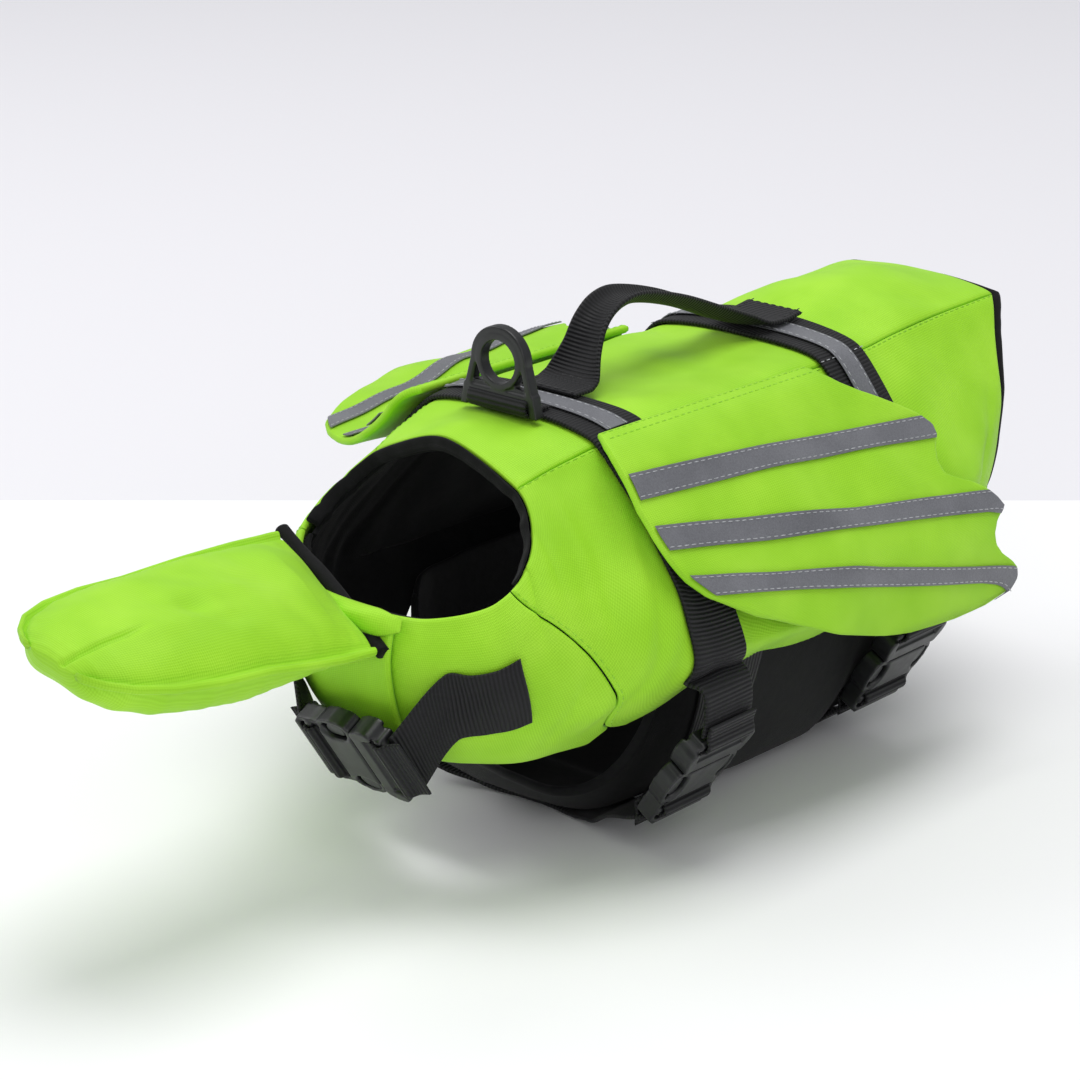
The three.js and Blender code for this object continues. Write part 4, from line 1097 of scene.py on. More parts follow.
@dataclass
class Wing:
    """One wing with its three tapes, sewn along the side seam of the back."""

    side: int
    slopes: dict[str, Array]
    root: tuple[float, float, float] = (39.0, -71.0, 146.4)
    fall: float = 0.02
    reach: float = 104.0
    cut: dict[str, Array] = field(default_factory=lambda: table("out front rear", [
        [0, -71, 40], [6, -75, 43], [11, -76.5, 47.5], [16, -77, 54], [22, -77, 63.5], [30, -77.5, 77],
        [36, -76.5, 83], [40, -76, 83], [44, -75, 79.5], [49, -73.5, 77], [54, -71.5, 77.5], [57, -70, 82.5],
        [60, -67.5, 89], [64, -64, 95.5], [68, -57.5, 100], [72, -51, 103], [76, -43.5, 96], [80, -33, 93],
        [84, -24, 93], [88, -14.5, 96], [92, -5, 101.5], [95, 5.5, 104], [98, 16, 104], [100, 24, 102],
        [102, 37, 99], [104, 66, 80]]))
    tapes: dict[str, Array] = field(default_factory=lambda: table("front middle tip", [
        [22.5, 28, 36.5], [41, 55, 69.5], [60, 81, 98.5]]))
    dimple: float = 0.9

    @property
    def name(self) -> str:
        """Side of the jacket in words."""
        return "left" if self.side > 0 else "right"

    def point(self, out: Array, y: Array, lift: Array | float = 0.0) -> Array:
        """Point of the wing at a distance out from its root, moved off the cloth by lift."""
        steps = np.linspace(0, 112, 449)
        slope = np.radians(np.interp(steps, self.slopes["out"], self.slopes["slope"]))
        middle = (slope[1:] + slope[:-1]) / 2
        run = np.concatenate([[0], np.cumsum(np.cos(middle) * 0.25)])
        drop = np.concatenate([[0], np.cumsum(np.sin(middle) * 0.25)])
        here = np.interp(out, steps, slope)
        root_x, root_y, root_z = self.root
        flat = np.stack(np.broadcast_arrays(out, y, 0.0), -1)
        lift = lift + self.dimple * smoothstep(out, 4, 22) * ripple(flat, 30 + self.side, 42)
        x = root_x + np.interp(out, steps, run) + np.sin(here) * lift
        z = root_z - self.fall * (y - root_y) - np.interp(out, steps, drop) + np.cos(here) * lift
        x, y, z = np.broadcast_arrays(self.side * x, y, z)
        return np.stack([x, y, z], -1)

    def edge(self, out: Array, column: str) -> Array:
        """y of the wing's front or rear edge at a distance out."""
        return np.interp(out, self.cut["out"], self.cut[column])

    def sheet(self) -> bpy.types.Object:
        """The wing's cloth."""
        out = self.reach * spaced(90, self.reach)
        b = spaced(90, 160)
        outs, bs = np.meshgrid(out, b, indexing="ij")
        y = self.edge(outs, "front") * (1 - bs) + self.edge(outs, "rear") * bs
        middle = self.point(outs, y, WING / 2)
        away = unit(self.point(outs, y, 1.0) - self.point(outs, y, 0.0))
        return sheet_object(f"{self.name}_wing_cloth", middle, away, WING, 1.5)

    def tape_line(self, k: int, share: float, lift: float) -> Array:
        """Line along a tape, at a share of its width from its middle."""
        a = np.linspace(0.01, 0.99, 120)
        out = curve([0, 0.5, 1], np.array([self.tapes[c][k] for c in ("front", "middle", "tip")]), a)
        out = out + share * (TAPE_WIDTH - 0.8)
        start, end = self.edge(out, "front") + 1.2, self.edge(out, "rear") - 2
        return self.point(out, start + (end - start) * a, lift)

    def tape(self, k: int) -> bpy.types.Object:
        """One reflective tape on the wing."""
        a, b = np.meshgrid(spaced(90, 150), spaced(8, TAPE_WIDTH, (0.15, 0.4)), indexing="ij")
        line = curve([0, 0.5, 1], np.array([self.tapes[c][k] for c in ("front", "middle", "tip")]), a)
        out = line + (b - 0.5) * (TAPE_WIDTH - 0.8)
        start, end = self.edge(out, "front") + 1.2, self.edge(out, "rear") - 2
        y = start + (end - start) * a
        middle = self.point(out, y, WING + LAID + TAPE / 2)
        away = unit(self.point(out, y, 1.0) - self.point(out, y, 0.0))
        return sheet_object(f"{self.name}_wing_tape_{k + 1}_strip", middle, away, TAPE, 0.25)

    def build(self, shop: Workshop) -> None:
        """Builds and dresses the wing and its tapes."""
        shop.fit(self.sheet(), Finish.NEON, [f"{self.name}_wing"], Cut())
        for k in range(3):
            shop.fit(self.tape(k), Finish.TAPE, [f"{self.name}_wing_tape_{k + 1}"],
                     Cut(rests_on=(f"{self.name}_wing_cloth",)))


def ring_loops(name: str, loops: Array, uv_scale: float = 1.0) -> bpy.types.Object:
    """Closed body swept through loops of points, with domed ends.

    Args:
        name: Name of the piece.
        loops: Stations by points round by 3, in mm.
        uv_scale: Share of the real lengths that the pattern follows.

    Returns:
        The object.
    """
    stations, around = loops.shape[:2]
    wrapped = np.concatenate([loops, loops[:, :1]], 1)
    along, across = lengths(wrapped, 0), lengths(wrapped, 1)
    index = np.arange(stations * around).reshape(stations, around)
    index = np.concatenate([index, index[:, :1]], 1)
    centres = loops[[0, -1]].mean(1)
    points = np.concatenate([loops.reshape(-1, 3), centres])
    faces = quads(index).tolist()
    total = stations * around
    for row, centre, turn in ((0, total, 1), (stations - 1, total + 1, -1)):
        for k in range(around):
            faces.append([index[row, k], index[row, k + 1], centre][::turn])
    first = np.array([points[f[0]] for f in faces])
    second, third = (np.array([points[f[k]] for f in faces]) for k in (1, 2))
    if float(np.einsum("ij,ij->i", first, np.cross(second, third)).sum()) < 0:
        faces = [f[::-1] for f in faces]
    u = np.broadcast_to(across[None, :-1], (stations, around))
    v = np.broadcast_to(along[:, None], (stations, around))
    ends = np.array([[0.0, 0.0], [0.0, along[-1]]])
    uv = np.concatenate([np.stack([u, v], -1).reshape(-1, 2), ends]) * uv_scale
    return mesh_object(name, points, [tuple(int(i) for i in f) for f in faces], uv)


def two_layers(name: str, outer: Array, inner: Array) -> bpy.types.Object:
    """Closed pad between an outer and an inner grid that meet along their edges.

    Args:
        name: Name of the piece.
        outer: Rows by columns by 3, in mm.
        inner: The same for the far side.

    Returns:
        The object.
    """
    rows, columns = outer.shape[:2]
    top = np.arange(rows * columns).reshape(rows, columns)
    under = top.copy()
    core = (slice(1, -1), slice(1, -1))
    under[core] = rows * columns + np.arange((rows - 2) * (columns - 2)).reshape(rows - 2, columns - 2)
    points = np.concatenate([outer.reshape(-1, 3), inner[core].reshape(-1, 3)])
    faces = np.concatenate([quads(top), quads(under)[:, ::-1]])
    one, two, three = (points[faces[:, k]] for k in range(3))
    if float(np.einsum("ij,ij->i", one, np.cross(two, three)).sum()) < 0:
        faces = faces[:, ::-1]
    u = np.broadcast_to(lengths(outer, 1)[None, :], (rows, columns))
    v = np.broadcast_to(lengths(outer, 0)[:, None], (rows, columns))
    uv = np.stack([u, v], -1)
    return mesh_object(name, points, faces, np.concatenate([uv.reshape(-1, 2), uv[core].reshape(-1, 2)]))


def band(name: str, centre: Array, side: Array, width: Array | float, thickness: float, cup: Array | float = 0.0
         ) -> bpy.types.Object:
    """Strip of webbing along a line.

    Args:
        name: Name of the piece.
        centre: Stations by 3, in mm.
        side: Direction across it at each station.
        width: Width in mm, or one for each station.
        thickness: Thickness in mm.
        cup: How far its long edges curl down, in mm.

    Returns:
        The object.
    """
    share = spaced(14, STRAP_WIDTH, (0.3, 0.7)) - 0.5
    width = np.broadcast_to(width, (len(centre),))[:, None, None]
    cup = np.broadcast_to(cup, (len(centre),))[:, None, None]
    ahead = np.gradient(centre, axis=0)
    up = unit(np.cross(side, ahead))[:, None, :]
    middle = (centre[:, None, :] + side[:, None, :] * share[None, :, None] * width
              - up * cup * (np.abs(2 * share)[None, :, None] ** 2.6))
    out = grid_normals(middle)
    out *= np.sign((out * up).sum(-1, keepdims=True) + 1e-9)
    return sheet_object(name, middle, out, thickness, thickness / 2)


def smooth_line(points: Sequence[Sequence[float]], count: int) -> Array:
    """Evenly spaced points on a smooth line through a few given ones.

    Args:
        points: The given points, in mm.
        count: How many points are wanted.

    Returns:
        count by 3.
    """
    given = np.asarray(points, float)
    knots = np.concatenate([[0], np.cumsum(np.sqrt(np.linalg.norm(np.diff(given, axis=0), axis=-1)))])
    fine = np.linspace(0, knots[-1], count * 6)
    line = np.stack([curve(knots, given[:, k], fine) for k in range(given.shape[1])], -1)
    run = np.concatenate([[0], np.cumsum(np.linalg.norm(np.diff(line, axis=0), axis=-1))])
    even = np.linspace(0, run[-1], count)
    return np.stack([np.interp(even, run, line[:, k]) for k in range(given.shape[1])], -1)


@dataclass
class ChinFloat:
    """Padded float under the chin: two crowned faces, a piped edge seam and a dart at the tip."""

    far: tuple[float, float, float] = (-44, -135.5, 113)
    near: tuple[float, float, float] = (15, -149.5, 88)
    tip: tuple[float, float, float] = (-14, -264, 112)
    roll: float = 12.0
    piping: float = 1.5
    stations: dict[str, Array] = field(default_factory=lambda: table("along width top bottom", [
        [0.02, 0.99, 1.6, 2.4], [0.035, 1, 3, 5], [0.08, 1.01, 6, 8.5], [0.16, 1.04, 9.5, 12],
        [0.32, 1.07, 11.5, 15], [0.5, 1.08, 12, 17], [0.66, 1.06, 11.5, 17], [0.8, 0.97, 10, 16],
        [0.9, 0.82, 8, 13.5], [0.955, 0.64, 5.8, 10], [0.98, 0.5, 3.8, 7], [0.99, 0.4, 2.2, 4]]))
    dents: dict[str, Array] = field(default_factory=lambda: table("along share length width depth", [
        [0.58, 0.17, 7, 5, -2.2], [0.66, -0.06, 5, 9, -1.1], [0.5, 0.45, 8, 4, -1.2], [0.72, 0.38, 9, 4, 1.0],
        [0.3, -0.2, 9, 12, -1.0], [0.42, 0.05, 12, 5, 0.9], [0.2, 0.4, 6, 14, 0.8]]))
    dart: tuple[float, float, float, float] = (0.985, 0.3, 0.76, 0.28)

    def faces(self, a: Array, share: Array, sign: int) -> Array:
        """Points of one face.

        Args:
            a: From the root (0) to the tip (1).
            share: From the far edge (-1) to the near one (1).
            sign: 1 for the upper face, -1 for the lower one.

        Returns:
            Points in mm.
        """
        far, near, tip = (np.array(p, float) for p in (self.far, self.near, self.tip))
        column = {c: np.interp(a, np.linspace(0, 1, 12), self.stations[c]) for c in self.stations}
        along = column["along"][..., None]
        root = (far + near) / 2
        across = unit(near - far)
        turn = math.radians(self.roll)
        tip_across = np.array([math.cos(turn), 0, -math.sin(turn)])
        side = unit(across * (1 - np.minimum(along * 2, 1)) + tip_across * np.minimum(along * 2, 1))
        up = -unit(np.cross(side, tip - root))
        half = np.linalg.norm(near - far) / 2 * column["width"]
        inner = half - 2.5 * self.piping
        from_seam = half * (1 - np.abs(share))
        power, flat = (2.6, 0.62) if sign > 0 else (4.5, 0.5)
        crown = (1 - np.clip(np.abs(share) * half / inner, 0, 1) ** power) ** flat
        bead = self.piping * np.sqrt(np.clip(1 - ((from_seam - self.piping) / self.piping) ** 2, 0, 1))
        line = along[..., 0] * 130
        pucker = 0.45 * np.sin(line * 2 * math.pi / 8.5 + 2 * np.sin(line / 11)) * np.exp(-((from_seam - 4) / 5) ** 2)
        height = column["top" if sign > 0 else "bottom"] * crown
        start, start_share, end, end_share = self.dart
        t = np.clip((start - along[..., 0]) / (start - end), 0, 1)
        gap = (share - (start_share + (end_share - start_share) * t)) * half
        valley = -2.0 * np.exp(-(gap / 1.1) ** 2) * smoothstep(along[..., 0], end - 0.03, end + 0.08)
        for k in range(len(self.dents["depth"])):
            ahead = (along[..., 0] - self.dents["along"][k]) * 130 / self.dents["length"][k]
            beside = (share - self.dents["share"][k]) * half / self.dents["width"][k]
            valley = valley + self.dents["depth"][k] * np.exp(-ahead ** 2 - beside ** 2)
        body = root + (tip - root) * along + side * (share * half)[..., None]
        slack = 0.75 * ripple(body, 21 + sign, 44) + 0.3 * ripple(body, 23 + sign, 17)
        fullness = smoothstep(crown, 0.15, 0.8)
        height = height + crown * pucker + fullness * (slack + (valley if sign > 0 else 0))
        return body + up * (sign * np.maximum(height, bead))[..., None]

    def root_binding(self) -> bpy.types.Object:
        """Black binding rolled over the float's root."""
        far, near = np.array(self.far, float), np.array(self.near, float)
        t = np.linspace(0.0, 1.0, 90)[:, None]
        across = unit(near - far)
        sag = np.array([0, 1.0, 0.35])
        line = far + (near - far) * t + unit(sag) * (0.6 + 1.2 * np.sin(math.pi * t))
        up = unit(np.cross(across, unit(np.array(self.tip) - far)))
        ahead = unit(np.cross(up, across))
        turn = np.linspace(0, 2 * math.pi, 18, endpoint=False)
        soft = 1 + 0.1 * ripple(line, 61, 12)[:, None, None]
        loops = line[:, None] + (np.cos(turn)[None, :, None] * 2.6 * ahead + np.sin(turn)[None, :, None] * 2.2 * up) * soft
        return ring_loops("chin_float_root_binding", loops)

    def build(self, shop: Workshop) -> None:
        """Builds and dresses the float and its root's binding."""
        shop.fit(self.root_binding(), Finish.BLACK, cut=Cut())
        a, b = np.meshgrid(spaced(130, 130), spaced(70, 64, (0.3, 0.7, 1.25, 1.9, 2.4, 2.8)), indexing="ij")
        top, bottom = self.faces(a, b * 2 - 1, 1), self.faces(a, b * 2 - 1, -1)
        middle = (top + bottom) / 2
        rim = np.ones(a.shape, bool)
        rim[1:-1, 1:-1] = False
        top[rim] = middle[rim]
        shop.fit(two_layers("chin_float_pad", top, bottom), Finish.NEON, ["chin_float"], Cut(fill=0.7))


@dataclass
class NeckFinish:
    """Throat strip, neck binding and tail binding."""

    torso: Torso
    strip_from: float = 0.93
    strip_to: float = 1.26
    strip_top: float = -0.12
    strip_bottom: float = 0.46
    strip_height: float = 4.0

    def throat(self) -> bpy.types.Object:
        """Padded strip along the lower front of the neck."""
        a, b = np.meshgrid(spaced(70, 60), spaced(26, 16, (0.3, 0.8)), indexing="ij")
        g = self.strip_from + (self.strip_to - self.strip_from) * a
        taper = 0.35 + 0.65 * smoothstep(np.minimum(a, 1 - a), -0.04, 0.12)
        s = self.strip_top + (self.strip_bottom - self.strip_top) * (0.5 + (b - 0.5) * taper)
        bulge = np.sqrt(np.clip(1 - (2 * b - 1) ** 2, 0, 1)) * smoothstep(np.minimum(a, 1 - a), -0.02, 0.16)
        soft = 1 + 0.16 * ripple(self.torso.plain(s, g), 41, 15)
        base = self.torso.at(s, g, SHELL + 3 * GAP + 0.4)
        out = self.torso.facing(s, g)
        top = base + out * (bulge * self.strip_height * soft)[..., None]
        return two_layers("throat_strip_pad", top, base - out * (0.5 * bulge)[..., None])

    def binding(self, name: str, s: float, direction: int, reach: float, width: Callable[[Array], Array]
                ) -> bpy.types.Object:
        """Binding tape folded over an edge.

        Args:
            name: Name of the piece.
            s: Ring that it runs along.
            direction: 1 at the tail and -1 at the neck.
            reach: How far round each side it goes.
            width: Gives how far it stands past the edge, in mm.

        Returns:
            The object.
        """
        g = np.linspace(-reach, reach, 220)
        ring = np.full_like(g, s)
        along = unit(self.torso.plain(ring, g) - self.torso.plain(ring - direction * 0.05, g))
        out = self.torso.facing(ring, g)
        base = self.torso.at(ring, g)
        turn = np.linspace(0, 2 * math.pi, 18, endpoint=False)
        deep = (SHELL + LINING_GAP + LINING) / 2
        past = width(np.abs(g))[:, None]
        bend = np.abs(np.cos(turn)) ** 0.8 * np.sign(np.cos(turn))
        lift = -deep - 0.3 + (deep - 0.1) * np.abs(np.sin(turn)) ** 0.75 * np.sign(np.sin(turn))
        soft = 0.3 * ripple(base, 51, 9)[:, None]
        reach_out = 2 * GAP + (past + soft) * (0.5 + 0.5 * bend[None, :])
        loops = base[:, None] + along[:, None] * reach_out[..., None] + out[:, None] * lift[None, :, None]
        return ring_loops(name, loops)

    def build(self, shop: Workshop) -> None:
        """Builds and dresses the three."""
        shop.fit(self.throat(), Finish.NEON, ["throat_strip"], Cut(fill=0.6))
        neck = self.binding("neck_binding_tape", 0, -1, 0.66, lambda g: 1.4 + 0 * g)
        tail = self.binding("tail_binding_tape", 11, 1, 0.75, lambda g: 1.6 + 4.2 * smoothstep(g, 0.1, 0.24))
        shop.fit(neck, Finish.BLACK, ["neck_binding"], Cut())
        shop.fit(tail, Finish.BLACK, ["tail_binding"], Cut())


@dataclass
class Outline:
    """Flat plate outline with holes and the heights that it fills, in mm."""

    edge: Array
    low: float
    high: float
    holes: tuple[Array, ...] = ()


def rounded(corners: Sequence[Sequence[float]], radius: float, steps: int = 6) -> Array:
    """Polygon with rounded corners.

    Args:
        corners: Corners in mm.
        radius: Rounding in mm.
        steps: Points in each corner.

    Returns:
        The outline's points.
    """
    points = np.asarray(corners, float)
    result = []
    for k, corner in enumerate(points):
        before, after = points[k - 1] - corner, points[(k + 1) % len(points)] - corner
        cut = min(radius, 0.48 * np.linalg.norm(before), 0.48 * np.linalg.norm(after))
        start, end = corner + unit(before) * cut, corner + unit(after) * cut
        t = np.linspace(0, 1, steps)[:, None]
        result.append(start * (1 - t) ** 2 + 2 * corner * t * (1 - t) + end * t ** 2)
    return np.concatenate(result)


def ring_outline(radius: float, centre: tuple[float, float] = (0.0, 0.0), count: int = 56) -> Array:
    """Circle of points."""
    turn = np.linspace(0, 2 * math.pi, count, endpoint=False)
    return np.stack([centre[0] + radius * np.cos(turn), centre[1] + radius * np.sin(turn)], -1)


def moulded(name: str, plates: Sequence[Outline], place: Array, voxel: float = 0.42, rounds: int = 7
            ) -> bpy.types.Object:
    """Moulded body: plates melted into one closed skin with soft edges.

    Args:
        name: Name of the piece.
        plates: Plates in the body's own directions.
        place: 4 by 4, from the body's own directions to the row frame, in mm.
        voxel: Cell of the melt in mm.
        rounds: Passes of smoothing.

    Returns:
        The object.
    """
    joined = bmesh.new()
    for plate in plates:
        data = bpy.data.curves.new("outline", "CURVE")
        data.dimensions, data.fill_mode, data.extrude = "2D", "BOTH", (plate.high - plate.low) / 2 * MM
        for loop in (plate.edge, *plate.holes):
            spline = data.splines.new("POLY")
            spline.points.add(len(loop) - 1)
            for point, (x, y) in zip(spline.points, loop * MM):
                point.co = (x, y, 0, 1)
            spline.use_cyclic_u = True
        thing = bpy.data.objects.new("outline", data)
        bpy.context.scene.collection.objects.link(thing)
        flat = bpy.data.meshes.new_from_object(thing.evaluated_get(bpy.context.evaluated_depsgraph_get()))
        flat.transform(Matrix.Translation((0, 0, (plate.high + plate.low) / 2 * MM)))
        joined.from_mesh(flat)
        bpy.data.objects.remove(thing)
        bpy.data.curves.remove(data)
        bpy.data.meshes.remove(flat)
    bmesh.ops.remove_doubles(joined, verts=joined.verts, dist=1e-6)
    bmesh.ops.recalc_face_normals(joined, faces=joined.faces)
    mesh = bpy.data.meshes.new(name + "_melt")
    joined.to_mesh(mesh)
    joined.free()
    thing = bpy.data.objects.new(name + "_melt", mesh)
    bpy.context.scene.collection.objects.link(thing)
    melt = thing.modifiers.new("melt", "REMESH")
    melt.mode, melt.voxel_size = "VOXEL", voxel * MM
    ease = thing.modifiers.new("ease", "SMOOTH")
    ease.factor, ease.iterations = 0.5, rounds
    done = bpy.data.meshes.new_from_object(thing.evaluated_get(bpy.context.evaluated_depsgraph_get()))
    bpy.data.objects.remove(thing)
    done.name = name
    matrix = Matrix([list(row) for row in place])
    matrix.translation *= MM
    done.transform(matrix)
    done.polygons.foreach_set("use_smooth", [True] * len(done.polygons))
    done.update()
    result = bpy.data.objects.new(name, done)
    bpy.context.scene.collection.objects.link(result)
    return result


@dataclass
class Buckle:
    """Side-release buckle of the 25 mm size, fastened: a flared plug and a waisted socket."""

    name: str
    at: tuple[float, float, float]
    along: tuple[float, float, float]
    face: tuple[float, float, float]
    length: float = 41.0
    width: float = 30.0
    slot: float = 12.8

    def axes(self) -> Array:
        """4 by 4 from the buckle's own directions: x to the ladder end, z out of its face."""
        x = unit(np.array(self.along, float))
        z = np.array(self.face, float)
        z = unit(z - x * (z @ x))
        place = np.eye(4)
        place[:3, 0], place[:3, 1], place[:3, 2], place[:3, 3] = x, np.cross(z, x), z, self.at
        return place

    def shift(self, points: Array | Sequence[Sequence[float]]) -> Array:
        """Moves an outline so that the buckle's middle is 0."""
        return np.asarray(points, float) - [self.length / 2, 0]

    def box(self, x0: float, x1: float, half: float, radius: float = 0.8) -> Array:
        """Rounded rectangle, even about the buckle's middle line."""
        return self.shift(rounded([[x0, -half], [x1, -half], [x1, half], [x0, half]], radius))

    def plug(self) -> bpy.types.Object:
        """Half at the loop end: a slotted plate with flared fins, and the tongues in the windows."""
        half, slot = self.width / 2, self.slot
        side = [[0.2, 9.5], [1.6, 13.2], [3.4, 15.6], [7, 16.4], [10.6, 15.8], [13.7, 14.6]]
        fins = side + [[x, -y] for x, y in side[::-1]]
        plates = [
            Outline(self.shift(rounded(fins, 1.6)), -2.6, 3.0, (self.box(3.2, 6.8, slot),)),
            Outline(self.box(0.2, 3.0, slot + 0.6, 1.2), -3.4, 3.6),
            Outline(self.box(8.2, 13.7, half - 2.4, 1.6), -4.2, 4.3),
            Outline(self.box(13, 27, 8.6, 1), -3.0, 3.2),
        ]
        for sign in (1, -1):
            fin = [[3.6, 13.4 * sign], [7, 12.6 * sign], [13.6, 12.0 * sign], [13.6, 14.9 * sign],
                   [9, 16.6 * sign], [5, 16.8 * sign], [2.6, 15.2 * sign]]
            plates.append(Outline(self.shift(rounded(fin, 1.2)), -4.0, 4.4))
            button = [[17.8, 10.4 * sign], [25.4, 10.4 * sign], [26.4, 12.4 * sign], [25, 15.2 * sign],
                      [20, 16.2 * sign], [17, 15.4 * sign]]
            plates.append(Outline(self.shift(rounded(button, 1.8)), -2.7, 3.1))
        return moulded(f"{self.name}_plug_moulding", plates, self.axes())

    def socket(self) -> bpy.types.Object:
        """Half at the ladder end: smooth waisted body with open sides and two ladder slots."""
        half, slot, length = self.width / 2, self.slot, self.length
        side = [[14.3, 14.7], [16.4, 14.9], [17.2, 10.2], [20, 9.1], [24, 9.3], [26.8, 11.2], [28.6, 14.8],
                [33, 15.2], [length - 1, 14.4], [length, 12.8]]
        body = side + [[x, -y] for x, y in side[::-1]]
        frame_side = [[14.4, 12.2], [15.4, 15.9], [17.6, 16.9], [23, 17.4], [28, 16.2], [30.4, 14.6],
                      [28.4, 13.6], [26.2, 15.3], [20.4, 15.9], [17.4, 15.2], [16.2, 12.2]]
        ladder = (self.box(29.9, 32.9, slot), self.box(35.8, 38.8, slot))
        front = [[14.3, 11.5], [18, 9.6], [24, 9.2], [28, 11.6], [29.2, 12.6]]
        lid = front + [[x, -y] for x, y in front[::-1]]
        plates = [
            Outline(self.shift(rounded(body, 1.4)), -3.4, 3.6, ladder),
            Outline(self.shift(rounded(lid, 1.6)), -4.3, 4.5),
            Outline(self.box(33.1, 35.6, slot + 1.4, 1), -3.9, 4.3),
            Outline(self.box(38.9, length, slot + 0.6, 0.8), -4.4, 4.4),
        ]
        for sign in (1, -1):
            plates.append(Outline(self.shift(rounded([[x, y * sign] for x, y in frame_side], 0.7)), -3.4, 3.5))
        return moulded(f"{self.name}_socket_moulding", plates, self.axes())

    def loop(self, end: int) -> bpy.types.Object:
        """Webbing that turns round the bar at one end of the buckle.

        Args:
            end: -1 for the loop end, 1 for the ladder end.

        Returns:
            The object.
        """
        bar = [[-6.5, 1.0], [-2.5, 2.2], [0.2, 4.5], [2.2, 4.6], [4.0, 3.2], [4.9, 0.6], [4.9, -2.2]]
        ladder = [[-7, -0.6], [-3, -2.6], [0, -5.3], [2.2, -4.6], [3.6, -1.4], [3.9, 2.2], [5.2, 5.0], [7.8, 5.0],
                  [9.3, 2.2], [9.6, -2.0]]
        line = smooth_line([[x - self.length / 2, 0.0, z] for x, z in (bar if end < 0 else ladder)], 50)
        if end > 0:
            line[:, 0] *= -1
        place = self.axes()
        centre = line @ place[:3, :3].T + place[:3, 3]
        side = np.broadcast_to(place[:3, 1] * -end, centre.shape)
        which = "plug" if end < 0 else "socket"
        return band(f"{self.name}_{which}_loop", centre, side, STRAP_WIDTH - 0.6, 1.3)

    def build(self, shop: Workshop) -> None:
        """Builds and dresses both halves and the webbing round their bars."""
        shop.fit(self.plug(), Finish.PLASTIC, [f"{self.name}_plug"])
        shop.fit(self.socket(), Finish.PLASTIC, [f"{self.name}_socket"])
        for end in (-1, 1):
            shop.fit(self.loop(end), Finish.WEBBING, cut=Cut(held="folded"))


